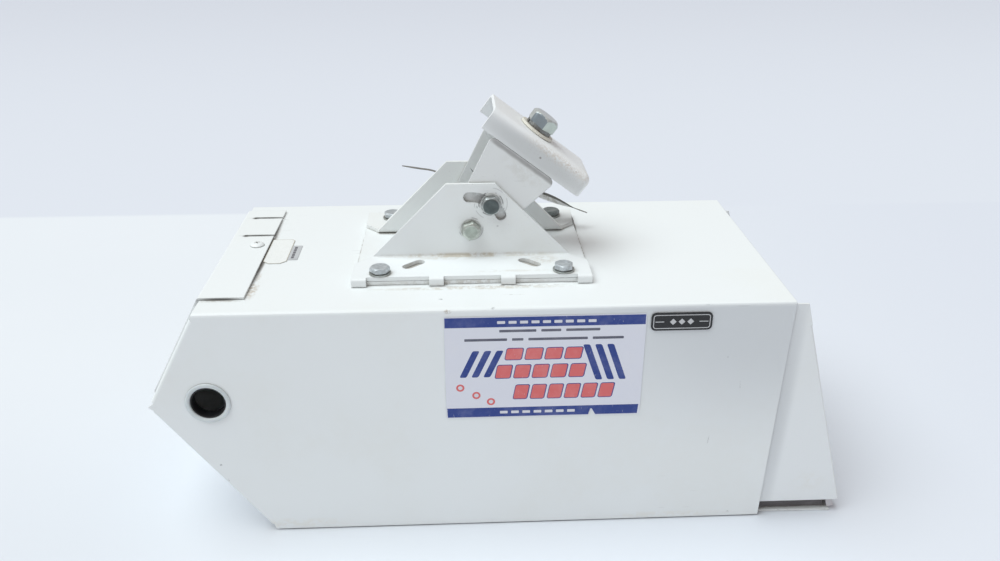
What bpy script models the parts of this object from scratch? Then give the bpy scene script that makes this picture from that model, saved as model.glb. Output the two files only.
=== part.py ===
"""Outdoor camera housing of folded sheet steel with its tilt and swivel mounting head.

The housing lies upside down on its roof, as it would on a bench: +Z points from the roof to the
housing's floor, which carries the mounting head. +X runs to the window end, +Y to the far side.
The origin is the bottom centre of the whole object. Metres throughout.
"""
import math

import bmesh
import bpy
import numpy as np
from mathutils import Matrix, Vector

GAP = 0.0003                  # clearance between touching pieces
CUT_REACH = 0.012             # how far cutters run past the sheet they cut

# Housing shell
SHEET = 0.0016                # 16 gauge steel
FLOOR_Z = 0.186               # outer face of the floor
HALF_WIDTH = 0.108            # centre plane to a side's outer face
MID_Y = 0.00065               # centre plane: the bushing stands out on the near side only
REAR_X = -0.2170              # rear edge of the floor
FLOOR_LENGTH = 0.420
TAIL_REACH = 0.0403           # how far the pointed tail reaches behind the floor's rear edge
TAIL_Z = 0.1126
SIDE_FOOT_Z = 0.001           # lower edge of the sides, just above the roof's outer face
REAR_FOOT = 0.0393            # rear end of a side's lower edge, from the floor's rear edge
FRONT_FOOT = 0.4134           # its front end
FOLD_RADIUS = 0.0024
FLANGE_WIDTH = 0.033          # inward flanges round the rear opening
FLANGE_RELIEF = 0.005

# Snap bushing of the cable hole, in the near side
BUSHING_AT = (0.0024, 0.1155)  # along from the floor's rear edge, and height
BUSHING_FLANGE = 0.0013
BUSHING_RADIUS = 0.0161
BUSHING_BARREL = 0.0136
BUSHING_BORE = 0.0126
BUSHING_DEPTH = 0.0080
BUSHING_HOLE = 0.0139

# Rear cover
COVER_NEAR = 0.022            # near edge of the cover, from the near side's outer face
COVER_WIDTH = 0.177
COVER_FOLD = 0.0012
COVER_FOOT = 0.0018           # from the foot of the opening to the cover's lower edge
LIP_LENGTH = 0.0315
LIP_SLITS = (0.118, 0.159)    # from the cover's near edge
SLIT_LENGTH = 0.024
SLIT_WIDTH = 0.0034
SCREW_HOLE = 0.0027
COVER_SCREW = (0.022, 0.0965)  # along the lip, and from the cover's near edge

# Front hood and window
HOOD_BACK = 0.400
HOOD_TOP = 0.4295             # front edge of a cheek at its upper end
HOOD_TOP_Z = 0.1836           # below the shell's fold
HOOD_FOOT = 0.4776            # and at its lower end
HOOD_FOOT_Z = 0.0118
FRAME_TOP_Z = 0.166
FAR_CHEEK_Z = 0.1755          # the far cheek's upper corner is notched down to here
WINDOW_HALF_WIDTH = 0.078
WINDOW_MARGIN = 0.024
WINDOW_INSET = 0.0055         # from the side's outer face to the pane's edge
GLASS = 0.005
GLASS_DROP = 0.0105           # how far the pane reaches below the frame
GASKET = 0.002
CLIP_SHEET = 0.0014

# Sponge strips between roof and hood
SEAL_WIDTH = 0.0055
SEAL_INSET = 0.0042            # from the roof sheet's side edge
SEAL_HEIGHT = 0.0108
SEAL_SETBACK = 0.0022         # behind the pane

# Roof
ROOF = 0.0015
ROOF_INSET = 0.0035
ROOF_REAR = 0.0405
ROOF_FRONT = 0.472
ROOF_FLANGE = 0.010

# Labels: two corners each, along from the floor's rear edge and in height, or in depth
SIDE_LABEL = ((0.1720, 0.0975), (0.3140, 0.1800))
NAME_PLATE = ((0.3172, 0.1665), (0.3605, 0.1802))
FLOOR_LABEL = ((0.0320, -0.0235), (0.0535, 0.0255))

# Mounting base: a plate and two angle brackets on the floor
HEAD_X = REAR_X + 0.1928
HEAD_Y = MID_Y + 0.0005
PLATE = 0.003
FOOT_HALF_LENGTH = 0.0878     # the near foot
PLATE_LEFT = 0.0862           # the plate and the far foot
PLATE_RIGHT = 0.0872
BASE_HALF_DEPTH = 0.0670
TAB_REACH = 0.0705            # outer face of the down-turned tabs
TAB_WIDTH = 0.0107
TAB_CENTRES = (-0.0824, -0.0262, 0.0262, 0.0824)
YOKE_HALF = 0.0295            # outer faces of the uprights
UPRIGHT_BASE = 0.0755         # half length of an upright at its foot
UPRIGHT_TOP = 0.0182
UPRIGHT_TOP_Z = 0.2500
BOLT_NEAR_X = (-0.0675, 0.0675)
BOLT_NEAR = 0.0600
BOLT_FAR_X = (-0.0652, 0.0690)
BOLT_FAR = 0.0550
BOLT_ACROSS = 0.0130
BASE_HOLE = 0.0052
SLOT_X = 0.0435
SLOT_Y = 0.0445
SLOT_LENGTH = 0.0200
SLOT_HALF_WIDTH = 0.0042
SLOT_ANGLE = 43.0             # degrees, each slot points at the plate's centre

# Tilt and swivel head
PIVOT_Z = 0.2144
TILT_REST = 37.0              # degrees from upright at rest
LOCK_RADIUS = 0.025
ARC_LOW = 25.0                # ends of the arc slot's centre line, degrees above +X
ARC_HIGH = 93.5
ARC_HALF_WIDTH = 0.0041
PIVOT_HOLE = 0.0043
PIVOT_BOLT = 0.0039           # radius of the tilt bolt's shank
LOCK_BOLT = 0.0038
TILT_BOLT_ACROSS = 0.0127
TILT_HEAD = 0.0053
TILT_NUT = 0.0068
SWIVEL_HOLE = 0.0067
CLEVIS_HALF = 0.0261
CLEVIS_TOP = 0.0663           # outer face of the clevis web, above the pivot
CLEVIS_WEB_HALF = 0.029
CLEVIS_EYE = 0.0173
CAP_TOP = 0.0842
CAP_REAR = -0.0394
CAP_FRONT = 0.0525
CAP_SHEET = 0.0028

# Camera sled inside
SLED_HALF_WIDTH = 0.034
SLED_START = 0.110
SLED_LENGTH = 0.180
SLED_SHEET = 0.002
RAIL_START = 0.066
RAIL_LENGTH = 0.270
RAIL_DROP = 0.0115
RAIL_LIP = 0.008
RAIL_SHEET = 0.0015

# Heater and wiring under the floor, places along from its rear edge and across from the centre
HEATER_START = 0.3500
HEATER_WIDTH = 0.050
THERMOSTAT_AT = (0.3700, 0.052)
TERMINALS_AT = (0.0385, -0.0750)
TERMINALS = (0.0220, 0.0600, 0.0160)


# ---------------------------------------------------------------- helpers

def clear_scene():
    for item in list(bpy.data.objects):
        bpy.data.objects.remove(item, do_unlink=True)


def material(name, colour, roughness, metallic=0.0, alpha=1.0):
    found = bpy.data.materials.get(name)
    if found:
        return found
    made = bpy.data.materials.new(name)
    made.use_nodes = True
    shader = made.node_tree.nodes["Principled BSDF"]
    shader.inputs["Base Color"].default_value = (*colour, 1.0)
    shader.inputs["Roughness"].default_value = roughness
    shader.inputs["Metallic"].default_value = metallic
    shader.inputs["Alpha"].default_value = alpha
    return made


def white_paint():
    return material("white_paint", (0.86, 0.87, 0.87), 0.45)


def zinc():
    return material("zinc_steel", (0.55, 0.56, 0.55), 0.38, 1.0)


def place(name, bm, finish, smooth_angle=40.0, parent=None, location=(0, 0, 0)):
    mesh = bpy.data.meshes.new(name)
    bm.to_mesh(mesh)
    bm.free()
    mesh.materials.append(finish)
    mesh.shade_smooth()
    mesh.set_sharp_from_angle(angle=math.radians(smooth_angle))
    made = bpy.data.objects.new(name, mesh)
    bpy.context.scene.collection.objects.link(made)
    made.location = location
    made.parent = parent
    return made


def cutter(name, bm, parent=None, location=(0, 0, 0)):
    made = place(name, bm, white_paint(), parent=parent, location=location)
    made.hide_render = True
    made.display_type = "WIRE"
    return made


def cut(target, tool):
    step = target.modifiers.new("cut_" + tool.name, "BOOLEAN")
    step.operation = "DIFFERENCE"
    step.solver = "EXACT"
    step.object = tool


def box_mesh(low, high):
    bm = bmesh.new()
    bmesh.ops.create_cube(bm, size=1.0)
    size = Vector(high) - Vector(low)
    centre = (Vector(high) + Vector(low)) / 2
    bmesh.ops.scale(bm, vec=size, verts=bm.verts)
    bmesh.ops.translate(bm, vec=centre, verts=bm.verts)
    return bm


def turned(profile, segments, axis="Z", centre=(0, 0, 0)):
    """A closed outline of (radius, height) points spun round an axis."""
    bm = bmesh.new()
    rings = []
    for radius, height in profile:
        if radius < 1e-9:
            rings.append([bm.verts.new((0, 0, height))])
            continue
        angles = [2 * math.pi * k / segments for k in range(segments)]
        rings.append([bm.verts.new((radius * math.cos(a), radius * math.sin(a), height))
                      for a in angles])
    for first, second in zip(rings, rings[1:] + rings[:1]):
        if len(first) == 1 and len(second) == 1:
            continue
        for k in range(segments):
            after = (k + 1) % segments
            corners = [first[k % len(first)], first[after % len(first)],
                       second[after % len(second)], second[k % len(second)]]
            unique = list(dict.fromkeys(corners))
            bm.faces.new(unique)
    bmesh.ops.recalc_face_normals(bm, faces=bm.faces)
    aim(bm, axis)
    bmesh.ops.translate(bm, vec=centre, verts=bm.verts)
    return bm


def aim(bm, axis):
    """Turn a shape made along +Z so that it points along another axis."""
    turns = {"Z": Matrix.Identity(3), "-Z": Matrix.Rotation(math.pi, 3, "X"),
             "Y": Matrix.Rotation(-math.pi / 2, 3, "X"), "-Y": Matrix.Rotation(math.pi / 2, 3, "X"),
             "X": Matrix.Rotation(math.pi / 2, 3, "Y")}
    bmesh.ops.rotate(bm, matrix=turns[axis], verts=bm.verts)


def rod(radius, low, high, segments=24, axis="Z", centre=(0, 0, 0)):
    return turned([(0, low), (radius, low), (radius, high), (0, high)], segments, axis, centre)


def ring(inner, outer, low, high, segments=28, axis="Z", centre=(0, 0, 0)):
    outline = [(inner, low), (outer, low), (outer, high), (inner, high)]
    return turned(outline, segments, axis, centre)


def prism(outline, depth, origin, across, up):
    """Extrude a flat outline of (a, b) points by depth along across x up."""
    across = Vector(across).normalized()
    up = Vector(up).normalized()
    normal = across.cross(up)
    bm = bmesh.new()
    base = [bm.verts.new(Vector(origin) + across * a + up * b) for a, b in outline]
    face = bm.faces.new(base)
    grown = bmesh.ops.extrude_face_region(bm, geom=[face])
    moved = [v for v in grown["geom"] if isinstance(v, bmesh.types.BMVert)]
    bmesh.ops.translate(bm, vec=normal * depth, verts=moved)
    bmesh.ops.recalc_face_normals(bm, faces=bm.faces)
    return bm


def arc(centre, radius, start, end, steps):
    """Points of an arc, its angles in degrees."""
    angles = np.radians(np.linspace(start, end, steps + 1))
    return [(centre[0] + radius * math.cos(a), centre[1] + radius * math.sin(a)) for a in angles]


def slot_outline(length, half_width, angle, steps=6):
    """A straight slot with round ends, about (0, 0)."""
    reach = length / 2 - half_width
    along = Vector((math.cos(math.radians(angle)), math.sin(math.radians(angle))))
    first = arc(along * reach, half_width, angle - 90, angle + 90, steps)
    second = arc(along * -reach, half_width, angle + 90, angle + 270, steps)
    return first + second


def folded_sheet(name, panels, folds, thickness, outside, finish, segments=3, parent=None,
                 location=(0, 0, 0)):
    """One sheet of steel folded from flat panels.

    panels are lists of corner points that share the corners of their folds; folds are
    (end, end, radius) lines. The panels are the sheet's outer skin, seen from the point outside
    on the first panel, and the sheet grows inwards by its thickness.
    """
    bm = bmesh.new()
    for corners in panels:
        bm.faces.new([bm.verts.new(Vector(p)) for p in corners])
    bmesh.ops.remove_doubles(bm, verts=bm.verts, dist=1e-6)
    bmesh.ops.recalc_face_normals(bm, faces=bm.faces)
    bm.faces.ensure_lookup_table()
    first = bm.faces[0]
    if first.normal.dot(Vector(outside) - first.calc_center_median()) < 0:
        bmesh.ops.reverse_faces(bm, faces=bm.faces)
    for radius in sorted({fold[2] for fold in folds}, reverse=True):
        lines = [fold for fold in folds if fold[2] == radius]
        edges = [e for e in bm.edges if any(lies_on(e, line) for line in lines)]
        bmesh.ops.bevel(bm, geom=edges, offset=radius, segments=segments, profile=0.5,
                        affect="EDGES", offset_type="OFFSET", clamp_overlap=True)
    made = place(name, bm, finish, parent=parent, location=location)
    solid = made.modifiers.new("sheet", "SOLIDIFY")
    solid.thickness = thickness
    solid.offset = -1.0
    solid.use_even_offset = True
    return made


def lies_on(edge, line):
    ends = [v.co for v in edge.verts]
    want = [Vector(line[0]), Vector(line[1])]
    straight = (ends[0] - want[0]).length < 1e-5 and (ends[1] - want[1]).length < 1e-5
    swapped = (ends[0] - want[1]).length < 1e-5 and (ends[1] - want[0]).length < 1e-5
    return straight or swapped


def hex_bolt(name, head_across, head_height, shank_radius, shank_length, axis, centre,
             parent=None):
    """A hex head standing on centre along axis, with its shank the other way."""
    bm = bmesh.new()
    corner = head_across / math.sqrt(3)
    chamfer = head_height * 0.14
    levels = [(corner * 0.86, head_height), (corner, head_height - chamfer), (corner, 0.0)]
    rings = []
    for radius, height in levels:
        rings.append([bm.verts.new((radius * math.cos(math.radians(60 * k)),
                                    radius * math.sin(math.radians(60 * k)), height))
                      for k in range(6)])
    bm.faces.new(rings[0])
    for first, second in zip(rings, rings[1:]):
        for k in range(6):
            bm.faces.new([first[k], second[k], second[(k + 1) % 6], first[(k + 1) % 6]])
    sides = 24
    low = [bm.verts.new((shank_radius * math.cos(2 * math.pi * k / sides),
                         shank_radius * math.sin(2 * math.pi * k / sides), 0.0))
           for k in range(sides)]
    for k in range(6):
        share = sides // 6
        inner = [low[(k * share + j) % sides] for j in range(share, -1, -1)]
        bm.faces.new([rings[2][k], *reversed(inner), rings[2][(k + 1) % 6]])
    tip = shank_radius * 0.82
    ends = [(shank_radius, -shank_length + shank_radius * 0.3), (tip, -shank_length)]
    previous = low
    for radius, height in ends:
        current = [bm.verts.new((radius * math.cos(2 * math.pi * k / sides),
                                 radius * math.sin(2 * math.pi * k / sides), height))
                   for k in range(sides)]
        for k in range(sides):
            bm.faces.new([previous[k], previous[(k + 1) % sides], current[(k + 1) % sides],
                          current[k]])
        previous = current
    bm.faces.new(previous)
    bmesh.ops.recalc_face_normals(bm, faces=bm.faces)
    aim(bm, axis)
    return place(name, bm, zinc(), smooth_angle=30, parent=parent, location=centre)


def hex_nut(name, across, height, bore, axis, centre, parent=None):
    """A nut from centre along axis."""
    sides = 24
    corner = across / math.sqrt(3)
    bm = bmesh.new()

    def hexagon(z):
        return [bm.verts.new((corner * math.cos(math.radians(60 * k)),
                              corner * math.sin(math.radians(60 * k)), z)) for k in range(6)]

    def circle(z):
        return [bm.verts.new((bore * math.cos(2 * math.pi * k / sides),
                              bore * math.sin(2 * math.pi * k / sides), z))
                for k in range(sides)]

    outer = [hexagon(0.0), hexagon(height)]
    inner = [circle(0.0), circle(height)]
    for k in range(6):
        bm.faces.new([outer[0][k], outer[0][(k + 1) % 6], outer[1][(k + 1) % 6], outer[1][k]])
    for k in range(sides):
        bm.faces.new([inner[0][k], inner[1][k], inner[1][(k + 1) % sides],
                      inner[0][(k + 1) % sides]])
    share = sides // 6
    for outside, inside in zip(outer, inner):
        for k in range(6):
            stretch = [inside[(k * share + j) % sides] for j in range(share + 1)]
            bm.faces.new([outside[k], *stretch, outside[(k + 1) % 6]])
    bmesh.ops.recalc_face_normals(bm, faces=bm.faces)
    aim(bm, axis)
    return place(name, bm, zinc(), smooth_angle=30, parent=parent, location=centre)


def washer(name, inner, outer, thickness, axis, centre, parent=None):
    bm = ring(inner, outer, 0.0, thickness, 28, axis)
    return place(name, bm, zinc(), parent=parent, location=centre)


# ---------------------------------------------------------------- housing

def side_corner(along, height):
    """A point of a side's outline, along from the floor's rear edge."""
    return REAR_X + along, height


def body_shell():
    """Floor, two sides and the inward flanges round the rear opening, all one folded sheet."""
    rear = side_corner(0.0, FLOOR_Z)
    front = side_corner(FLOOR_LENGTH, FLOOR_Z)
    front_foot = side_corner(FRONT_FOOT, SIDE_FOOT_Z)
    rear_foot = side_corner(REAR_FOOT, SIDE_FOOT_Z)
    tail = side_corner(-TAIL_REACH, TAIL_Z)

    def between(a, b, distance):
        span = math.hypot(b[0] - a[0], b[1] - a[1])
        share = distance / span
        return a[0] + (b[0] - a[0]) * share, a[1] + (b[1] - a[1]) * share

    upper = (between(rear, tail, FLANGE_RELIEF), between(tail, rear, FLANGE_RELIEF))
    lower = (between(tail, rear_foot, FLANGE_RELIEF), between(rear_foot, tail, FLANGE_RELIEF))
    outline = [rear, front, front_foot, rear_foot, lower[1], lower[0], tail, upper[1], upper[0]]
    near = MID_Y - HALF_WIDTH
    far = MID_Y + HALF_WIDTH
    panels = [[(rear[0], near, rear[1]), (front[0], near, front[1]),
               (front[0], far, front[1]), (rear[0], far, rear[1])]]
    folds = []
    for side, inward in ((near, 1), (far, -1)):
        panels.append([(x, side, z) for x, z in outline])
        folds.append(((rear[0], side, rear[1]), (front[0], side, front[1]), FOLD_RADIUS))
        for (a, b), radius in ((upper, FOLD_RADIUS), (lower, 0.0016)):
            start = (a[0], side, a[1])
            end = (b[0], side, b[1])
            reach = side + inward * FLANGE_WIDTH
            panels.append([start, end, (b[0], reach, b[1]), (a[0], reach, a[1])])
            folds.append((start, end, radius))
    shell = folded_sheet("body_shell", panels, folds, SHEET, (rear[0], 0, 1.0), white_paint())
    hole = rod(BUSHING_HOLE, -CUT_REACH, CUT_REACH, 32, "Y",
               (REAR_X + BUSHING_AT[0], near, BUSHING_AT[1]))
    cut(shell, cutter("bushing_hole", hole))
    for number, (x, y) in enumerate(base_bolt_places(), 1):
        cut(shell, cutter(f"floor_hole_{number}", bolt_hole(x, y)))
    return shell


def bolt_hole(x, y):
    """Upright cutter for a base bolt, through the floor and all that is stacked on it."""
    return rod(BASE_HOLE, FLOOR_Z - CUT_REACH, FLOOR_Z + CUT_REACH, 24, "Z", (x, y, 0))


def side_bushing():
    """Snap bushing of the cable hole in the near side."""
    bore = BUSHING_BORE
    flange = BUSHING_RADIUS
    face = GAP + BUSHING_FLANGE
    rounding = 0.0008
    outline = [(bore, -BUSHING_DEPTH), (BUSHING_BARREL, -BUSHING_DEPTH), (BUSHING_BARREL, GAP),
               (flange, GAP), (flange, face - rounding), (flange - rounding, face),
               (bore + rounding, face), (bore, face - rounding)]
    bm = turned(outline, 36, "-Y")
    finish = material("white_nylon", (0.80, 0.82, 0.82), 0.35)
    place("side_bushing", bm, finish,
          location=(REAR_X + BUSHING_AT[0], MID_Y - HALF_WIDTH, BUSHING_AT[1]))


def rear_cover():
    """Three-panel rear cover, outside the flanges, with its lip over the floor's rear edge."""
    clear = GAP + SHEET
    near = MID_Y - HALF_WIDTH + COVER_NEAR
    far = near + COVER_WIDTH
    rear = Vector((0.0, FLOOR_Z))
    tail = Vector((-TAIL_REACH, TAIL_Z))
    foot = Vector((REAR_FOOT, SIDE_FOOT_Z))

    def shifted(a, b, point):
        """The point moved out of the line a-b, to the left of its direction, by the clearance."""
        along = (b - a).normalized()
        return point + Vector((along.y, -along.x)) * -clear

    upper_a, upper_b = shifted(tail, rear, tail), shifted(tail, rear, rear)
    lower_a, lower_b = shifted(foot, tail, foot), shifted(foot, tail, tail)
    corner_tail = crossing(upper_a, upper_b, lower_a, lower_b)
    lip_level = FLOOR_Z + clear
    share = (lip_level - upper_a.y) / (upper_b.y - upper_a.y)
    corner_rear = upper_a + (upper_b - upper_a) * share
    end = lower_a + (lower_b - lower_a).normalized() * COVER_FOOT
    line = [Vector((LIP_LENGTH, lip_level)), corner_rear, corner_tail, end]
    panels = []
    folds = []
    for a, b in zip(line, line[1:]):
        panels.append([(REAR_X + a.x, near, a.y), (REAR_X + b.x, near, b.y),
                       (REAR_X + b.x, far, b.y), (REAR_X + a.x, far, a.y)])
    for point in line[1:3]:
        folds.append(((REAR_X + point.x, near, point.y), (REAR_X + point.x, far, point.y),
                      COVER_FOLD))
    cover = folded_sheet("rear_cover", panels, folds, SHEET, (REAR_X, 0, 1.0), white_paint())
    lip_end = REAR_X + LIP_LENGTH
    for number, at in enumerate(LIP_SLITS, 1):
        slit = prism(slot_outline(2 * SLIT_LENGTH, SLIT_WIDTH / 2, 0.0), 2 * CUT_REACH,
                     (lip_end, near + at, FLOOR_Z - CUT_REACH), (1, 0, 0), (0, 1, 0))
        cut(cover, cutter(f"lip_slit_{number}", slit))
    x, y = cover_screw_place()
    cut(cover, cutter("cover_screw_hole", screw_hole(x, y)))
    return cover


def crossing(a, b, c, d):
    """Where the lines a-b and c-d meet."""
    r = b - a
    s = d - c
    return a + r * ((c - a).cross(s) / r.cross(s))


def cover_screw_place():
    return REAR_X + COVER_SCREW[0], MID_Y - HALF_WIDTH + COVER_NEAR + COVER_SCREW[1]


def screw_hole(x, y):
    return rod(SCREW_HOLE, FLOOR_Z - CUT_REACH, FLOOR_Z + CUT_REACH, 20, "Z", (x, y, 0))


def cover_screw(shell):
    """Truss-head screw that holds the cover's lip to the floor."""
    x, y = cover_screw_place()
    cut(shell, cutter("cover_screw_tap", screw_hole(x, y)))
    level = FLOOR_Z + SHEET + 2 * GAP
    outline = [(0, -0.009), (0.0017, -0.009), (0.0024, -0.0078), (0.0024, 0), (0.0056, 0),
               (0.0055, 0.0006), (0.0042, 0.0016), (0.0022, 0.0022), (0, 0.0024)]
    screw = place("cover_screw", turned(outline, 28), zinc(), location=(x, y, level))
    for number, angle in enumerate((25, 115), 1):
        blade = box_mesh((-0.0021, -0.00045, 0.0010), (0.0021, 0.00045, 0.004))
        bmesh.ops.rotate(blade, matrix=Matrix.Rotation(math.radians(angle), 3, "Z"),
                         verts=blade.verts)
        cut(screw, cutter(f"screw_recess_{number}", blade, location=(x, y, level)))


def hood_line(height):
    """Front edge of the hood, from the floor's rear edge, at a height."""
    share = (HOOD_TOP_Z - height) / (HOOD_TOP_Z - HOOD_FOOT_Z)
    return HOOD_TOP + (HOOD_FOOT - HOOD_TOP) * share


def front_hood():
    """Window frame with a cheek folded back each side, set inside the shell's sides."""
    top = HOOD_TOP_Z
    outer = HALF_WIDTH - SHEET - GAP
    inset = outer - 0.0040
    panels = [[(REAR_X + hood_line(z), MID_Y + y, z)
               for y, z in ((-outer, HOOD_FOOT_Z), (outer, HOOD_FOOT_Z), (outer, FRAME_TOP_Z),
                            (inset, FRAME_TOP_Z), (-inset, FRAME_TOP_Z),
                            (-outer, FRAME_TOP_Z))]]
    head = (REAR_X + hood_line(FRAME_TOP_Z), FRAME_TOP_Z)
    back = (REAR_X + FLOOR_LENGTH - 0.0015, top)
    panels.append([(head[0], MID_Y - inset, head[1]), (head[0], MID_Y + inset, head[1]),
                   (back[0], MID_Y + inset, back[1]), (back[0], MID_Y - inset, back[1])])
    folds = [((head[0], MID_Y - inset, head[1]), (head[0], MID_Y + inset, head[1]), 0.0017)]
    foot_back = HOOD_FOOT_Z + 0.0002
    relief = FRAME_TOP_Z + 0.0006
    for side, corner in ((-outer, top), (outer, FAR_CHEEK_Z)):
        line = [(hood_line(HOOD_FOOT_Z), HOOD_FOOT_Z), (hood_line(FRAME_TOP_Z), FRAME_TOP_Z),
                (hood_line(relief), relief), (hood_line(corner), corner)]
        if corner < top:
            line += [(HOOD_TOP - 0.005, corner), (HOOD_TOP - 0.010, top)]
        line += [(HOOD_BACK, top), (HOOD_BACK, foot_back)]
        panels.append([(REAR_X + x, MID_Y + side, z) for x, z in line])
        folds.append(((REAR_X + line[0][0], MID_Y + side, line[0][1]),
                      (REAR_X + line[1][0], MID_Y + side, line[1][1]), 0.0018))
    hood = folded_sheet("front_hood", panels, folds, SHEET, (1.0, 0, 0.1), white_paint())
    cut(hood, cutter("window_opening", frame_block(WINDOW_HALF_WIDTH, WINDOW_MARGIN,
                                                   -CUT_REACH, CUT_REACH, 0.0)))
    return hood


def frame_block(half_width, margin, back, front, lift):
    """A block square to the hood's front, margin inside the frame's upper and lower edges.

    back and front are distances along the hood front's outward normal; lift moves it in height.
    """
    foot = Vector((REAR_X + HOOD_FOOT, 0, HOOD_FOOT_Z))
    head = Vector((REAR_X + hood_line(FRAME_TOP_Z), 0, FRAME_TOP_Z))
    up = (head - foot).normalized()
    normal = Vector((0, 1, 0)).cross(up)
    length = (head - foot).length
    outline = [(-half_width, margin + lift), (half_width, margin + lift),
               (half_width, length - margin), (-half_width, length - margin)]
    centre = Vector((0, MID_Y, 0))
    return prism(outline, front - back, foot + centre + normal * back, (0, 1, 0), up)


def window():
    """Gasket, pane and clips behind the hood's frame."""
    half = HALF_WIDTH - WINDOW_INSET
    lap = 0.002
    face = -SHEET - GAP
    rubber = material("black_rubber", (0.02, 0.02, 0.022), 0.75)
    gasket = place("window_gasket", frame_block(half, 0.004, face - GASKET, face, -lap), rubber)
    cut(gasket, cutter("gasket_opening",
                       frame_block(WINDOW_HALF_WIDTH + lap, WINDOW_MARGIN - lap,
                                   -CUT_REACH, CUT_REACH, 0.0)))
    face -= GASKET + GAP
    clear = material("window_glass", (0.75, 0.82, 0.82), 0.05, 0.0, 0.35)
    place("window_glass", frame_block(half, 0.003, face - GLASS, face, -GLASS_DROP), clear)
    face -= GLASS + GAP
    clip = 0.006
    for name, side in (("window_clip_near", -1), ("window_clip_far", 1)):
        bm = frame_block(clip, 0.020, face - CLIP_SHEET, face, 0.0)
        bmesh.ops.translate(bm, vec=(0, side * (half - clip - GAP), 0), verts=bm.verts)
        place(name, bm, zinc())


def roof_lid():
    """Roof sheet with upturned flanges inside the sides; its front end is the visor."""
    half = HALF_WIDTH - ROOF_INSET
    back = REAR_X + ROOF_REAR
    front = REAR_X + ROOF_FRONT
    fold_front = REAR_X + HOOD_BACK - 0.006
    panels = [[(back, MID_Y - half, 0), (fold_front, MID_Y - half, 0), (front, MID_Y - half, 0),
               (front, MID_Y + half, 0), (fold_front, MID_Y + half, 0), (back, MID_Y + half, 0)]]
    folds = []
    for side in (-half, half):
        a = (back, MID_Y + side, 0.0)
        b = (fold_front, MID_Y + side, 0.0)
        panels.append([a, b, (b[0], b[1], ROOF_FLANGE), (a[0] + 0.008, a[1], ROOF_FLANGE)])
        folds.append((a, b, 0.0016))
    return folded_sheet("roof_lid", panels, folds, ROOF, (0, 0, -1.0), white_paint())


def hood_seals():
    """Black sponge strips on the roof's visor: one below each cheek, one across the front."""
    rubber = material("black_rubber", (0.02, 0.02, 0.022), 0.75)
    start = REAR_X + HOOD_BACK + 0.002
    level = ROOF + GAP
    behind = SHEET + GASKET + GLASS + 4 * GAP + SEAL_SETBACK
    outer = HALF_WIDTH - ROOF_INSET - SEAL_INSET
    inner = outer - SEAL_WIDTH
    foot = REAR_X + hood_line(level) - behind
    head = REAR_X + hood_line(level + SEAL_HEIGHT) - behind
    outline = [(start, level), (foot, level), (head, level + SEAL_HEIGHT),
               (start, level + SEAL_HEIGHT)]
    for name, y in (("hood_seal_near", MID_Y - inner), ("hood_seal_far", MID_Y + outer)):
        bm = prism(outline, SEAL_WIDTH, (0, y, 0), (1, 0, 0), (0, 0, 1))
        place(name, bm, rubber)
    half = inner - GAP
    lower = SEAL_HEIGHT * 2 / 3
    outline = [(foot - SEAL_WIDTH, level), (foot, level), (foot, level + lower),
               (foot - SEAL_WIDTH, level + lower)]
    bm = prism(outline, 2 * half, (0, MID_Y + half, 0), (1, 0, 0), (0, 0, 1))
    place("hood_seal_front", bm, rubber)


# ---------------------------------------------------------------- labels

def labels():
    """Printed side label, name plate, and the old paper label on the floor."""
    face = MID_Y - HALF_WIDTH - GAP
    film = 0.0002
    plate_depth = 0.0008
    paper = material("label_film", (0.85, 0.85, 0.88), 0.35)
    black = material("black_plate", (0.015, 0.015, 0.018), 0.30)
    low, high = SIDE_LABEL
    place("side_label", box_mesh((REAR_X + low[0], face - film, low[1]),
                                 (REAR_X + high[0], face, high[1])), paper)
    low, high = NAME_PLATE
    plate = box_mesh((REAR_X + low[0], face - plate_depth, low[1]),
                     (REAR_X + high[0], face, high[1]))
    corners = [e for e in plate.edges if abs((e.verts[0].co - e.verts[1].co).y) > film]
    bmesh.ops.bevel(plate, geom=corners, offset=0.0032, segments=4, profile=0.5, affect="EDGES")
    place("name_plate", plate, black)
    yellow = material("old_label", (0.80, 0.77, 0.66), 0.55)
    (x0, y0), (x1, y1) = FLOOR_LABEL
    chamfer = 0.004
    outline = [(x0 + chamfer, y0), (x1 - chamfer, y0), (x1, y0 + chamfer), (x1, y1 - chamfer),
               (x1 - chamfer, y1), (x0 + chamfer, y1), (x0, y1 - chamfer), (x0, y0 + chamfer)]
    bm = prism(outline, film, (REAR_X, MID_Y, FLOOR_Z + GAP), (1, 0, 0), (0, 1, 0))
    place("floor_label", bm, yellow)


# ---------------------------------------------------------------- mounting base

def base_bolt_places():
    near = [(HEAD_X + x, HEAD_Y - BOLT_NEAR) for x in BOLT_NEAR_X]
    far = [(HEAD_X + x, HEAD_Y + BOLT_FAR) for x in BOLT_FAR_X]
    return near + far


def base_plate():
    low = FLOOR_Z + GAP
    half_y = BASE_HALF_DEPTH
    chamfer = 0.006
    outline = [(-PLATE_LEFT, -half_y), (PLATE_RIGHT, -half_y), (PLATE_RIGHT, half_y - chamfer),
               (PLATE_RIGHT - chamfer, half_y), (-PLATE_LEFT + chamfer, half_y),
               (-PLATE_LEFT, half_y - chamfer)]
    bm = prism(outline, PLATE, (HEAD_X, HEAD_Y, low), (1, 0, 0), (0, 1, 0))
    plate = place("base_plate", bm, white_paint())
    for number, (x, y) in enumerate(base_bolt_places(), 1):
        cut(plate, cutter(f"base_hole_{number}", bolt_hole(x, y)))
    return plate


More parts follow.
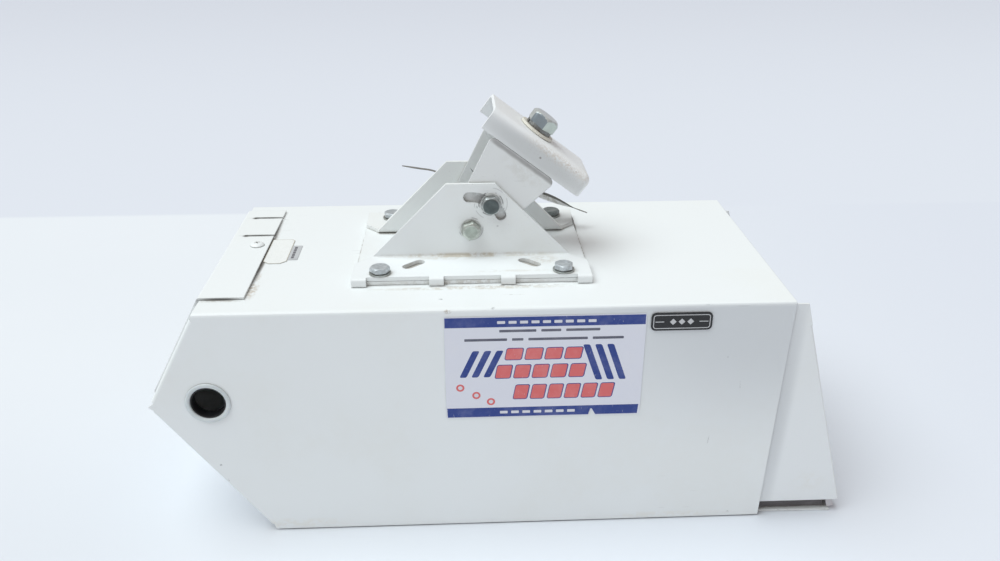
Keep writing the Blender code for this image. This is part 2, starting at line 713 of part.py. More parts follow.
def angle_bracket(name, side):
    """Upright with a foot turned outwards; the foot's tabs hook over the base plate's edge."""
    foot_top = FLOOR_Z + 2 * GAP + 2 * PLATE
    face = HEAD_Y + side * YOKE_HALF
    recess = HEAD_Y + side * (BASE_HALF_DEPTH + 0.0002)
    edge = HEAD_Y + side * TAB_REACH
    tab_foot = FLOOR_Z + GAP + 0.0003

    def at(x, y, z):
        return HEAD_X + x, y, z

    left_end = FOOT_HALF_LENGTH if side < 0 else PLATE_LEFT
    right_end = FOOT_HALF_LENGTH if side < 0 else PLATE_RIGHT
    shoulder = HEAD_Y + side * (YOKE_HALF + 0.0115)
    outline = [(-UPRIGHT_BASE, face), (-left_end, shoulder)]
    tabs = []
    for centre in TAB_CENTRES:
        left = centre - TAB_WIDTH / 2
        right = centre + TAB_WIDTH / 2
        if centre == TAB_CENTRES[0]:
            left = -left_end
        if centre == TAB_CENTRES[-1]:
            right = right_end
        if left > -left_end:
            outline.append((left, recess))
        outline += [(left, edge), (right, edge)]
        if right < right_end:
            outline.append((right, recess))
        tabs.append((left, right))
    outline += [(right_end, shoulder), (UPRIGHT_BASE, face)]
    panels = [[at(x, y, foot_top) for x, y in outline]]
    panels.append([at(-UPRIGHT_BASE, face, foot_top), at(UPRIGHT_BASE, face, foot_top),
                   at(UPRIGHT_TOP, face, UPRIGHT_TOP_Z), at(-UPRIGHT_TOP, face, UPRIGHT_TOP_Z)])
    folds = [(at(-UPRIGHT_BASE, face, foot_top), at(UPRIGHT_BASE, face, foot_top), 0.0012)]
    for left, right in tabs:
        a = at(left, edge, foot_top)
        b = at(right, edge, foot_top)
        panels.append([a, b, (b[0], b[1], tab_foot), (a[0], a[1], tab_foot)])
        folds.append((a, b, 0.0020))
    bracket = folded_sheet(name, panels, folds, PLATE, (HEAD_X, face + side, 1.0), white_paint())
    for number, (x, y) in enumerate(base_bolt_places(), 1):
        if (y - HEAD_Y) * side > 0:
            cut(bracket, cutter(f"{name}_hole_{number}", bolt_hole(x, y)))
    for number, sx in enumerate((-1, 1), 1):
        angle = SLOT_ANGLE * (-sx * side)
        shape = prism(slot_outline(SLOT_LENGTH, SLOT_HALF_WIDTH, -angle), CUT_REACH,
                      (HEAD_X + sx * SLOT_X, HEAD_Y + side * SLOT_Y, FLOOR_Z + PLATE - 0.001),
                      (1, 0, 0), (0, 1, 0))
        cut(bracket, cutter(f"{name}_slot_{number}", shape))
    hole = rod(PIVOT_HOLE, -CUT_REACH, CUT_REACH, 24, "Y", (HEAD_X, face, PIVOT_Z))
    cut(bracket, cutter(f"{name}_pivot_hole", hole))
    half = ARC_HALF_WIDTH
    outline = (arc((0, 0), LOCK_RADIUS + half, ARC_LOW, ARC_HIGH, 14)
               + arc(polar(LOCK_RADIUS, ARC_HIGH), half, ARC_HIGH, ARC_HIGH + 180, 6)[1:]
               + arc((0, 0), LOCK_RADIUS - half, ARC_HIGH, ARC_LOW, 14)[1:]
               + arc(polar(LOCK_RADIUS, ARC_LOW), half, ARC_LOW + 180, ARC_LOW + 360, 6)[1:-1])
    shape = prism(outline, 2 * CUT_REACH, (HEAD_X, face + CUT_REACH, PIVOT_Z), (1, 0, 0),
                  (0, 0, 1))
    cut(bracket, cutter(f"{name}_arc_slot", shape))
    return bracket


def polar(radius, degrees):
    return (radius * math.cos(math.radians(degrees)), radius * math.sin(math.radians(degrees)))


def base_fasteners():
    """Bolt, washer and nut at each corner of the base."""
    top = FLOOR_Z + 3 * GAP + 2 * PLATE
    under = FLOOR_Z - SHEET - GAP
    for number, (x, y) in enumerate(base_bolt_places(), 1):
        washer(f"base_washer_{number}", 0.0051, 0.0080, 0.0010, "Z", (x, y, top))
        hex_bolt(f"base_bolt_{number}", BOLT_ACROSS, 0.0042, 0.0047, 0.0210, "Z",
                 (x, y, top + 0.0010 + GAP))
        hex_nut(f"base_nut_{number}", BOLT_ACROSS, 0.0060, 0.0050, "-Z", (x, y, under))


# ---------------------------------------------------------------- tilt and swivel head

def tilt_frame():
    """Empty on the tilt axis, leaning as the head leans at rest; its X and Z are the head's."""
    frame = bpy.data.objects.new("tilt_frame", None)
    bpy.context.scene.collection.objects.link(frame)
    frame.location = (HEAD_X, HEAD_Y, PIVOT_Z)
    frame.rotation_euler = (0.0, math.radians(TILT_REST), 0.0)
    return frame


def pivot_fasteners():
    """The fixed pivot bolt through both uprights, with its washer and nut."""
    near = HEAD_Y - YOKE_HALF - GAP
    far = HEAD_Y + YOKE_HALF + GAP
    thickness = 0.0012
    washer("pivot_washer", PIVOT_HOLE, 0.0078, thickness, "-Y", (HEAD_X, near, PIVOT_Z))
    hex_bolt("pivot_bolt", TILT_BOLT_ACROSS, TILT_HEAD, PIVOT_BOLT, 0.0740, "-Y",
             (HEAD_X, near - thickness - GAP, PIVOT_Z))
    hex_nut("pivot_nut", TILT_BOLT_ACROSS, TILT_NUT, PIVOT_BOLT + GAP, "Y",
            (HEAD_X, far, PIVOT_Z))


def clevis(frame):
    """Inverted U between the uprights: a web on top and two tapered tongues down to the pivot."""
    top = CLEVIS_TOP
    half = CLEVIS_WEB_HALF
    eye = CLEVIS_EYE
    round_end = arc((0, 0), eye, 0, -180, 12)
    shoulder = 0.0045
    web = half - shoulder
    panels = [[(-web, -CLEVIS_HALF, top), (web, -CLEVIS_HALF, top),
               (web, CLEVIS_HALF, top), (-web, CLEVIS_HALF, top)]]
    folds = []
    right = arc((web, top - shoulder), shoulder, 90, 0, 4)
    left = arc((-web, top - shoulder), shoulder, 180, 90, 4)
    for side in (-CLEVIS_HALF, CLEVIS_HALF):
        outline = left + right + round_end
        panels.append([(x, side, z) for x, z in outline])
        folds.append(((-web, side, top), (web, side, top), 0.0040))
    made = folded_sheet("clevis", panels, folds, CAP_SHEET, (0, 0, 1.0), white_paint(),
                        segments=4, parent=frame)
    for name, height in (("pivot", 0.0), ("lock", LOCK_RADIUS)):
        cut(made, cutter(f"clevis_{name}_hole",
                         rod(PIVOT_BOLT + GAP, -YOKE_HALF, YOKE_HALF, 24, "Y", (0, 0, height)),
                         parent=frame))
    cut(made, cutter("clevis_swivel_hole",
                     rod(SWIVEL_HOLE, top - CUT_REACH, top + CUT_REACH, 28), parent=frame))
    return made


def lock_fasteners(frame):
    """The lock bolt rides with the clevis and slides in the arc slots."""
    near = -YOKE_HALF - GAP
    far = YOKE_HALF + GAP
    thickness = 0.0014
    washer("lock_washer", LOCK_BOLT + GAP, 0.0078, thickness, "-Y", (0, near, LOCK_RADIUS),
           frame)
    hex_bolt("lock_bolt", TILT_BOLT_ACROSS, TILT_HEAD, LOCK_BOLT, 0.0710, "-Y",
             (0, near - thickness - GAP, LOCK_RADIUS), frame)
    hex_nut("lock_nut", TILT_BOLT_ACROSS, TILT_NUT, LOCK_BOLT + GAP, "Y", (0, far, LOCK_RADIUS),
            frame)


def swivel_cap(frame):
    """Channel whose edges stand on the clevis web; its front end is turned down."""
    foot = CLEVIS_TOP + GAP
    half = CLEVIS_HALF
    rear, front, top = CAP_REAR, CAP_FRONT, CAP_TOP
    panels = [[(rear, -half, top), (front, -half, top), (front, half, top), (rear, half, top)],
              [(rear, -half, foot), (front, -half, foot), (front, -half, top),
               (rear, -half, top)],
              [(rear, half, top), (front, half, top), (front, half, foot), (rear, half, foot)],
              [(front, -half, foot), (front, half, foot), (front, half, top),
               (front, -half, top)]]
    folds = []
    rounding = 0.0045
    for side in (-half, half):
        folds.append(((rear, side, top), (front, side, top), rounding))
        folds.append(((front, side, foot), (front, side, top), rounding))
    folds.append(((front, -half, top), (front, half, top), rounding))
    made = folded_sheet("swivel_cap", panels, folds, CAP_SHEET, (0, 0, 1.0), white_paint(),
                        segments=4, parent=frame)
    cut(made, cutter("cap_swivel_hole", rod(SWIVEL_HOLE, top - CUT_REACH / 2, top + CUT_REACH, 28),
                     parent=frame))
    return made


def swivel_fasteners(frame):
    level = CAP_TOP + GAP
    flat = 0.0020
    spring_height = 0.0028
    washer("swivel_washer", SWIVEL_HOLE, 0.0140, flat, "Z", (0, 0, level), frame)
    level += flat + GAP
    spring = place("swivel_lock_washer", ring(SWIVEL_HOLE, 0.0107, 0.0, spring_height, 28),
                   zinc(), parent=frame, location=(0, 0, level))
    split = box_mesh((0.0050, -0.0006, -0.0010), (0.0120, 0.0006, 0.0040))
    bmesh.ops.rotate(split, matrix=Matrix.Rotation(math.radians(200), 3, "Z"),
                     verts=split.verts)
    cut(spring, cutter("lock_washer_split", split, parent=frame, location=(0, 0, level)))
    level += spring_height + GAP
    hex_bolt("swivel_bolt", 0.0195, 0.0088, 0.0063, 0.0440, "Z", (0, 0, level), frame)
    hex_nut("swivel_nut", 0.0190, 0.0105, 0.0066, "-Z",
            (0, 0, CLEVIS_TOP - CAP_SHEET - GAP), frame)


def tie_wire():
    """Stiff wire looped once round the pivot bolt's end, its two tails left sticking out."""
    bolt_end = HEAD_Y + YOKE_HALF + 0.0125
    loop = 0.0039 + 0.0006 + GAP
    left = [(-0.0540, 0.0278), (-0.0420, 0.0260), (-0.0300, 0.0240), (-0.0190, 0.0188),
            (-0.0105, 0.0105)]
    turn = [polar(loop, a) for a in range(120, -241, -30)]
    right = [(0.0120, 0.0085), (0.0280, 0.0090), (0.0450, 0.0075), (0.0600, 0.0035),
             (0.0740, -0.0035), (0.0870, -0.0110), (0.0980, -0.0160)]
    route = left + turn + right
    curve = bpy.data.curves.new("tie_wire", "CURVE")
    curve.dimensions = "3D"
    curve.bevel_depth = 0.0006
    curve.bevel_resolution = 1
    curve.use_fill_caps = True
    spline = curve.splines.new("POLY")
    spline.points.add(len(route) - 1)
    for number, (x, z) in enumerate(route):
        climb = 0.0018 * number / len(route)
        spline.points[number].co = (HEAD_X + x, bolt_end + climb, PIVOT_Z + z, 1.0)
    curve.materials.append(zinc())
    made = bpy.data.objects.new("tie_wire", curve)
    bpy.context.scene.collection.objects.link(made)


# ---------------------------------------------------------------- camera sled and heater

def sled_rails():
    """Two Z rails spot-welded under the floor; their lower lips carry the sled."""
    top = FLOOR_Z - SHEET - GAP
    low = top - RAIL_DROP
    start = REAR_X + RAIL_START
    end = start + RAIL_LENGTH
    for name, side in (("sled_rail_near", -1), ("sled_rail_far", 1)):
        web = MID_Y + side * (SLED_HALF_WIDTH + GAP + RAIL_SHEET)
        flange = web + side * 0.009
        lip = web - side * RAIL_LIP
        line = [(flange, top), (web, top), (web, low), (lip, low)]
        panels = [[(start, a[0], a[1]), (end, a[0], a[1]), (end, b[0], b[1]), (start, b[0], b[1])]
                  for a, b in zip(line, line[1:])]
        folds = [((start, y, z), (end, y, z), 0.0004) for y, z in line[1:3]]
        folded_sheet(name, panels, folds, RAIL_SHEET, (0, flange, 1.0),
                     material("galvanised", (0.60, 0.62, 0.62), 0.45, 1.0), segments=1)


def camera_sled():
    """Slotted plate on the rails, with the screw that holds the camera."""
    lip_top = FLOOR_Z - SHEET - GAP - RAIL_DROP + RAIL_SHEET + GAP
    low = lip_top + 0.0012
    start = REAR_X + SLED_START
    bm = box_mesh((start, MID_Y - SLED_HALF_WIDTH, low),
                  (start + SLED_LENGTH, MID_Y + SLED_HALF_WIDTH, low + SLED_SHEET))
    steel = material("galvanised", (0.60, 0.62, 0.62), 0.45, 1.0)
    sled = place("camera_sled", bm, steel)
    centre = start + SLED_LENGTH / 2
    slot = prism(slot_outline(0.090, 0.0036, 0.0), 0.02, (centre, MID_Y, low - 0.01),
                 (1, 0, 0), (0, 1, 0))
    cut(sled, cutter("sled_slot", slot))
    outline = [(0, -0.0150), (0.0024, -0.0150), (0.0031, -0.0140), (0.0031, 0), (0.0080, 0),
               (0.0086, 0.0008), (0.0086, 0.0040), (0.0080, 0.0048), (0, 0.0048)]
    place("camera_screw", turned(outline, 28), zinc(),
          location=(centre + 0.020, MID_Y, low + SLED_SHEET + GAP))


def heater_and_wiring():
    """Finned heater, its thermostat and the terminal block, all fixed under the floor."""
    under = FLOOR_Z - SHEET - GAP
    alloy = material("heater_alloy", (0.62, 0.50, 0.25), 0.45, 1.0)
    fins = 7
    pitch = 0.0060
    fin = 0.0022
    tip = -0.0140
    root = -0.0050
    outline = [(0.0, 0.0)]
    for k in range(fins):
        outline += [(k * pitch, tip), (k * pitch + fin, tip)]
        if k < fins - 1:
            outline += [(k * pitch + fin, root), ((k + 1) * pitch, root)]
    outline.append(((fins - 1) * pitch + fin, 0.0))
    bm = prism(outline, HEATER_WIDTH, (REAR_X + HEATER_START, MID_Y + HEATER_WIDTH / 2, under),
               (1, 0, 0), (0, 0, 1))
    place("heater", bm, alloy)
    plastic = material("black_plastic", (0.03, 0.03, 0.03), 0.5)
    outline = [(0, 0), (0.0085, 0), (0.0085, 0.0050), (0.0070, 0.0062), (0.0070, 0.0085),
               (0, 0.0085)]
    place("thermostat", turned(outline, 28, "-Z"), plastic,
          location=(REAR_X + THERMOSTAT_AT[0], MID_Y + THERMOSTAT_AT[1], under))
    ivory = material("ivory_plastic", (0.82, 0.79, 0.70), 0.4)
    x = REAR_X + TERMINALS_AT[0]
    y = MID_Y + TERMINALS_AT[1]
    length, width, height = TERMINALS
    block = place("terminal_block",
                  box_mesh((x, y, under - height), (x + length, y + width, under)), ivory)
    ways = 5
    spacing = 0.0110
    margin = (width - spacing * (ways - 1)) / 2
    for row, along in enumerate((0.0060, 0.0160), 1):
        for k in range(ways):
            well = rod(0.0021, under - height - CUT_REACH, under - height / 2, 12, "Z",
                       (x + along, y + margin + spacing * k, 0))
            cut(block, cutter(f"well_{row}_{k + 1}", well))


# ---------------------------------------------------------------- build

def flatten_shading():
    """Let the large flat faces decide the shading, so that only the folds and rims look round."""
    for item in bpy.data.objects:
        if item.type == "MESH" and not item.hide_render:
            step = item.modifiers.new("flat_faces", "WEIGHTED_NORMAL")
            step.keep_sharp = True
            step.weight = 100


def build():
    clear_scene()
    shell = body_shell()
    side_bushing()
    rear_cover()
    cover_screw(shell)
    front_hood()
    window()
    roof_lid()
    hood_seals()
    labels()
    base_plate()
    angle_bracket("near_bracket", -1)
    angle_bracket("far_bracket", 1)
    base_fasteners()
    frame = tilt_frame()
    pivot_fasteners()
    clevis(frame)
    lock_fasteners(frame)
    swivel_cap(frame)
    swivel_fasteners(frame)
    tie_wire()
    sled_rails()
    camera_sled()
    heater_and_wiring()
    flatten_shading()


build()
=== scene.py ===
"""Looks of an outdoor camera housing with its tilt and swivel head, built round its CAD frame."""

from math import cos, pi, radians, sin

import bmesh
import bpy
from mathutils import Matrix, Vector


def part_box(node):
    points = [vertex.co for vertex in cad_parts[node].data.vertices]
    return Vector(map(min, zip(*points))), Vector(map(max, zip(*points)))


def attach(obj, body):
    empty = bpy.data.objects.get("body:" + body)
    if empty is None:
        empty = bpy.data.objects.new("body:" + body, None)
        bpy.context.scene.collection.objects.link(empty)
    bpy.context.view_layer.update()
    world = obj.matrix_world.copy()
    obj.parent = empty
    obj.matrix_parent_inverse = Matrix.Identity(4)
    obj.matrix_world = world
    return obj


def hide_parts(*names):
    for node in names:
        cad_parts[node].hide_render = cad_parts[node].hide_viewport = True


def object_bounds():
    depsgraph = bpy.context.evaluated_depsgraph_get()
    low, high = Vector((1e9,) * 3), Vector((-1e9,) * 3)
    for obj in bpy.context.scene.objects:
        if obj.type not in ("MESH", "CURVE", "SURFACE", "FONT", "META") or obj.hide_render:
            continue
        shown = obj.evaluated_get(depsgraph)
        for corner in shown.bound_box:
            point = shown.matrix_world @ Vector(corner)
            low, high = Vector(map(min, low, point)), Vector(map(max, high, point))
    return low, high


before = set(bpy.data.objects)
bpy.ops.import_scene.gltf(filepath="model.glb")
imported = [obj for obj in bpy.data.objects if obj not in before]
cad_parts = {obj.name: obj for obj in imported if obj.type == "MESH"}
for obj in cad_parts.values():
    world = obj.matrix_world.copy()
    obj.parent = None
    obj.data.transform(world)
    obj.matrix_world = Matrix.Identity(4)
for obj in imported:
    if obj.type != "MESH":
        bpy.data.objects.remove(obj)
cad_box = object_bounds()

MM = 0.001
TILT = radians(37)        # lean of the head at rest
TAIL_REACH = 0.0403       # the sides' pointed tail reaches this far behind the floor

shell_low, shell_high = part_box("body_shell")
REAR = shell_low.x + TAIL_REACH       # rear edge of the floor
NEAR = shell_low.y                    # outer face of the near side
FLOOR = shell_high.z                  # top of the housing's floor
MIDDLE = (shell_low.y + shell_high.y) / 2
pivot_low, pivot_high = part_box("pivot_washer")
PIVOT = Vector(((pivot_low.x + pivot_high.x) / 2, 0, (pivot_low.z + pivot_high.z) / 2))
base_low, base_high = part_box("base_plate")
near_low, near_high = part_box("near_bracket")
far_low, far_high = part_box("far_bracket")
HEAD_Y = (near_low.y + far_high.y) / 2


# ---- materials

class Recipe:
    """One material's node tree. Patterns lie in the row frame at rest, in metres."""

    def __init__(self, name, turn=0):
        self.material = bpy.data.materials.new(name)
        self.material.use_nodes = True
        self.tree = self.material.node_tree
        self.shader = self.tree.nodes["Principled BSDF"]
        self.place = self.node("ShaderNodeTexCoord").outputs["Object"]
        if turn:
            self.place = self.turned(self.place, turn)

    def node(self, kind, inputs=None, **settings):
        made = self.tree.nodes.new(kind)
        for key, value in settings.items():
            setattr(made, key, value)
        for key, value in (inputs or {}).items():
            self.feed(made.inputs[key], value)
        return made

    def feed(self, socket, value):
        if isinstance(value, bpy.types.NodeSocket):
            self.tree.links.new(value, socket)
        elif socket.type == "RGBA" and len(value) == 3:
            socket.default_value = (*value, 1)
        else:
            socket.default_value = value

    def vector(self, operation, first, second=(0, 0, 0), output="Vector"):
        made = self.node("ShaderNodeVectorMath", {0: first, 1: second}, operation=operation)
        return made.outputs[output]

    def turned(self, vector, angle):
        return self.node("ShaderNodeVectorRotate", {"Vector": vector, "Angle": angle},
                         rotation_type="Y_AXIS").outputs["Vector"]

    def length(self, vector):
        return self.vector("LENGTH", vector, output="Value")

    def noise(self, scale, detail=3, roughness=0.55, stretch=None, shift=0):
        vector = self.vector("MULTIPLY", self.place, stretch) if stretch else self.place
        if shift:
            vector = self.vector("ADD", vector, (shift, shift, shift))
        made = self.node("ShaderNodeTexNoise", {"Vector": vector, "Scale": scale,
                                                "Detail": detail, "Roughness": roughness})
        return made.outputs["Fac"]

    def span(self, value, low, high, to_low=0, to_high=1):
        made = self.node("ShaderNodeMapRange",
                         {"Value": value, "From Min": low, "From Max": high, "To Min": to_low,
                          "To Max": to_high}, interpolation_type="SMOOTHSTEP", clamp=True)
        return made.outputs["Result"]

    def maths(self, operation, first, second=0):
        made = self.node("ShaderNodeMath", {0: first, 1: second}, operation=operation,
                         use_clamp=operation in ("ADD", "MULTIPLY"))
        return made.outputs["Value"]

    def times(self, first, second):
        return self.maths("MULTIPLY", first, second)

    def blend(self, share, first, second):
        made = self.node("ShaderNodeMix", {0: share}, data_type="RGBA")
        self.feed(made.inputs[6], first)
        self.feed(made.inputs[7], second)
        return made.outputs[2]

    def part(self, axis):
        split = self.node("ShaderNodeSeparateXYZ", {0: self.place})
        return split.outputs["XYZ".index(axis)]

    def near(self, centre, reach, soft=0.5, turn=0):
        """1 at centre falling to 0 on an ellipsoid of half sizes reach."""
        offset = self.vector("SUBTRACT", self.place, tuple(centre))
        if turn:
            offset = self.turned(offset, turn)
        away = self.length(self.vector("DIVIDE", offset, tuple(reach)))
        return self.span(away, 1, 1 - soft)

    def halo(self, centre, radius, width):
        """1 on a circle about centre, in a plane of constant Y."""
        offset = self.vector("SUBTRACT", self.place, tuple(centre))
        away = self.length(self.vector("MULTIPLY", offset, (1, 0, 1)))
        off = self.maths("ABSOLUTE", self.maths("SUBTRACT", away, radius))
        return self.span(off, width, width * 0.4)

    def crevice(self, distance, low, high):
        made = self.node("ShaderNodeAmbientOcclusion", {"Distance": distance}, samples=6)
        return self.span(made.outputs["AO"], high, low)

    def softened(self, radius):
        return self.node("ShaderNodeBevel", {"Radius": radius}, samples=4).outputs["Normal"]

    def edge(self, radius, low=0.004, high=0.1):
        """1 on sharp outer edges."""
        rounded = self.softened(radius)
        true = self.node("ShaderNodeNewGeometry").outputs["Normal"]
        dot = self.vector("DOT_PRODUCT", rounded, true, "Value")
        return self.span(self.maths("SUBTRACT", 1, dot), low, high)

    def relief(self, heights, rounding=0.0005):
        """Bump from (height, distance, strength) triples over softened edges."""
        normal = self.softened(rounding) if rounding else None
        for height, distance, strength in heights:
            step = self.node("ShaderNodeBump", {"Height": height, "Distance": distance,
                                                "Strength": strength})
            if normal is not None:
                self.feed(step.inputs["Normal"], normal)
            normal = step.outputs["Normal"]
        self.feed(self.shader.inputs["Normal"], normal)

    def finish(self, colour, roughness, metallic=0, **more):
        self.feed(self.shader.inputs["Base Color"], colour)
        self.feed(self.shader.inputs["Roughness"], roughness)
        self.feed(self.shader.inputs["Metallic"], metallic)
        for key, value in more.items():
            self.shader.inputs[key.replace("_", " ")].default_value = value
        return self.material


WHITE = (0.86, 0.898, 0.912)
CREAM = (0.77, 0.745, 0.665)
GRIME = (0.3, 0.27, 0.215)
STEEL = (0.33, 0.335, 0.33)


def paint(name, marks=(), grime=0.45, specks=0.35, wear=0.25, turn=0, seed=0, base=WHITE,
          rounding=0.0005, rings=(), painted_shade_inside=False):
    """White powder coat: faint mottling, grime in corners, fine specks, chips and listed marks.

    marks are (centre, reach, colour, strength, grain, lean); the last two may be left out. grain
    is the scale of the noise that breaks a mark up, 0 for none, and sparse from 1000 up.
    rings are (centre, radius, width, colour, strength, grain) round fasteners in the sides.
    """
    r = Recipe(name, turn)
    cloud = r.noise(9, 4, shift=seed)
    colour = r.blend(r.span(cloud, 0.35, 0.72, 0, 0.35), base,
                     (base[0] * 0.955, base[1] * 0.95, base[2] * 0.925))
    dust = r.times(r.noise(120, 5, 0.7, shift=seed), r.span(cloud, 0.3, 0.7))
    colour = r.blend(r.span(dust, 0.22, 0.55, 0, 0.16 * grime), colour, CREAM)
    corner = r.times(r.crevice(0.005, 0.35, 0.8),
                     r.span(r.noise(55, 5, 0.65, shift=seed), 0.34, 0.66, 0.25, 1))
    colour = r.blend(r.times(corner, grime), colour, GRIME)
    dots = r.span(r.noise(1500, 1, shift=seed), 0.735, 0.775)
    dots = r.times(dots, r.span(r.noise(45, 3, shift=seed + 3), 0.44, 0.62))
    colour = r.blend(r.times(dots, specks), colour, (0.26, 0.23, 0.19))
    lines = r.span(r.noise(38, 2, 0.5, stretch=(1, 14, 22), shift=seed), 0.73, 0.755)
    lines = r.times(lines, r.span(r.noise(14, 2, shift=seed + 7), 0.5, 0.66))
    colour = r.blend(r.times(lines, 0.3), colour, (0.42, 0.43, 0.43))
    chips = r.times(r.edge(0.0009),
                    r.span(r.noise(420, 4, 0.7, shift=seed), 0.585, 0.625))
    colour = r.blend(r.times(chips, wear), colour, STEEL)
    for centre, reach, tone, strength, *rest in marks:
        grain, lean = (*rest, 0, 0)[:2]
        share = r.near(centre, reach, 0.75, lean)
        if grain:
            low = 0.4 if grain < 1000 else 0.57
            broken = r.span(r.noise(grain, 5, 0.7, shift=seed), low, low + 0.18)
            share = r.times(share, broken)
        colour = r.blend(r.times(share, strength), colour, tone)
    for centre, radius, width, tone, strength, grain in rings:
        share = r.times(r.halo(centre, radius, width),
                        r.span(r.noise(grain, 2, 0.5, shift=seed), 0.5, 0.56))
        colour = r.blend(r.times(share, strength), colour, tone)
    # Painted shade: the inside of the housing is painted near black.
    if painted_shade_inside:
        y, z = r.part("Y"), r.part("Z")
        along = r.maths("SUBTRACT", r.part("X"), REAR)
        lower = r.maths("ADD", along, r.times(z, 0.713))
        upper = r.maths("SUBTRACT", along, r.times(z, 0.549))
        share = r.span(y, NEAR + 0.0011, NEAR + 0.0014)
        for value, low, high in ((y, shell_high.y - 0.0011, shell_high.y - 0.0014),
                                 (z, FLOOR - 0.0011, FLOOR - 0.0014),
                                 (lower, 0.044, 0.047), (upper, -0.098, -0.095)):
            share = r.times(share, r.span(value, low, high))
        colour = r.blend(share, colour, (0.014, 0.014, 0.016))
    rough = r.span(cloud, 0.3, 0.7, 0.34, 0.44)
    rough = r.maths("ADD", rough, r.times(corner, 0.3))
    peel = r.noise(950, 2, 0.5, shift=seed)
    waves = r.noise(11, 1, shift=seed)
    r.relief([(waves, 0.0016, 0.12), (peel, 0.00012, 0.22), (chips, -0.0001, 0.5)], rounding)
    return r.finish(colour, rough)


def zinc(name, tint=(0.5, 0.525, 0.51), stain=0.5, turn=0, seed=0, face=None, shine=0.92,
         painted_facet_shading=()):
    """Dull zinc plate with cloudy patches, white bloom and rust in the corners.

    face is a (centre, reach, colour, strength) patch that differs in tone; the last argument gives
    (direction, colour, strength): painted light and shade on the faces that look that way at rest.
    """
    r = Recipe(name, turn)
    cloud = r.noise(230, 5, 0.65, shift=seed)
    colour = r.blend(r.span(cloud, 0.36, 0.66), tint, tuple(c * 0.72 for c in tint))
    bloom = r.span(r.noise(480, 5, 0.7, shift=seed + 2), 0.56, 0.68, 0, 0.45)
    colour = r.blend(bloom, colour, tuple(min(0.72, c * 1.35) for c in tint))
    rust = r.times(r.crevice(0.004, 0.35, 0.85),
                   r.span(r.noise(300, 4, 0.7, shift=seed + 5), 0.44, 0.6))
    colour = r.blend(r.times(rust, stain), colour, (0.2, 0.135, 0.08))
    if face:
        centre, reach, tone, strength = face
        colour = r.blend(r.times(r.near(centre, reach, 0.2), strength), colour, tone)
    # Painted light and shade on the faces that look each given way at rest.
    for direction, tone, strength in painted_facet_shading:
        normal = r.node("ShaderNodeTexCoord").outputs["Normal"]
        facing = r.vector("DOT_PRODUCT", normal, tuple(direction), "Value")
        colour = r.blend(r.span(facing, 0.8, 0.93, 0, strength), colour, tone)
    rough = r.span(cloud, 0.3, 0.7, 0.36, 0.56)
    rough = r.maths("ADD", rough, r.times(bloom, 0.4))
    metal = r.maths("SUBTRACT", shine, r.times(bloom, 0.8))
    r.relief([(r.noise(1700, 3), 0.00006, 0.35)], 0.0003)
    return r.finish(colour, rough, metal)


def galvanised(name, base=(0.52, 0.545, 0.555)):
    """Galvanised sheet with its spangle of crystal patches."""
    r = Recipe(name)
    cells = r.node("ShaderNodeTexVoronoi", {"Vector": r.place, "Scale": 135}).outputs["Color"]
    tone = r.node("ShaderNodeSeparateColor", {0: cells}).outputs[0]
    colour = r.blend(tone, tuple(c * 0.8 for c in base), tuple(c * 1.12 for c in base))
    haze = r.noise(30, 4)
    colour = r.blend(r.span(haze, 0.4, 0.7, 0, 0.35), colour, (0.44, 0.45, 0.44))
    rough = r.maths("ADD", r.span(tone, 0, 1, 0.3, 0.42), r.span(haze, 0.4, 0.7, 0, 0.2))
    r.relief([(tone, 0.00004, 0.3)], 0.0003)
    return r.finish(colour, rough, 0.9)


def moulded(name, base, rough=0.4, grain=900, depth=0.00005, corner_darkening=0.3, **more):
    """Moulded plastic with a fine grain, slight mottling and a darker copy of its colour in its
    corners.
    """
    r = Recipe(name)
    cloud = r.noise(60, 4)
    colour = r.blend(r.span(cloud, 0.35, 0.7), base, tuple(c * 0.88 for c in base))
    # Darker in the corners that the ambient occlusion finds.
    corner = r.crevice(0.003, 0.35, 0.8)
    colour = r.blend(r.times(corner, corner_darkening), colour, tuple(c * 0.35 for c in base))
    r.relief([(r.noise(grain, 3), depth, 0.4)], 0.0003)
    return r.finish(colour, r.span(cloud, 0.3, 0.7, rough - 0.05, rough + 0.08), **more)


def sponge(name, base=(0.018, 0.018, 0.02), dust=(0.085, 0.085, 0.085)):
    """Closed-cell sponge rubber, pitted all over and a little dusty."""
    r = Recipe(name)
    cells = r.node("ShaderNodeTexVoronoi", {"Vector": r.place, "Scale": 950}).outputs["Distance"]
    dusty = r.span(r.noise(90, 5, 0.7), 0.42, 0.68, 0, 0.5)
    colour = r.blend(dusty, base, dust)
    r.relief([(cells, 0.00035, 0.9)], 0)
    return r.finish(colour, r.span(cells, 0, 0.6, 0.95, 0.75))


def alloy(name):
    """Gold anodised aluminium extrusion with lines along its fins."""
    r = Recipe(name)
    lines = r.noise(60, 3, 0.6, stretch=(30, 1, 30))
    colour = r.blend(r.span(lines, 0.35, 0.65), (0.6, 0.47, 0.22), (0.5, 0.38, 0.17))
    r.relief([(lines, 0.00004, 0.4)], 0.0003)
    return r.finish(colour, r.span(lines, 0.3, 0.7, 0.34, 0.48), 0.9)


def pane(name):
    """Clear float glass with dust towards its edges and a few wipe marks."""
    r = Recipe(name)
    wipes = r.noise(30, 4, 0.7, stretch=(1, 6, 1))
    haze = r.span(wipes, 0.45, 0.75, 0.02, 0.14)
    colour = r.blend(haze, (0.93, 0.98, 0.965), (0.75, 0.76, 0.75))
    bead = r.span(r.part("Z"), 0.0125, 0.0105)
    colour = r.blend(bead, colour, (0.66, 0.64, 0.66))
    clear = r.times(r.maths("SUBTRACT", 1, bead), 0.96)
    r.feed(r.shader.inputs["Transmission Weight"], clear)
    return r.finish(colour, r.maths("ADD", haze, r.times(bead, 0.5)), IOR=1.5)


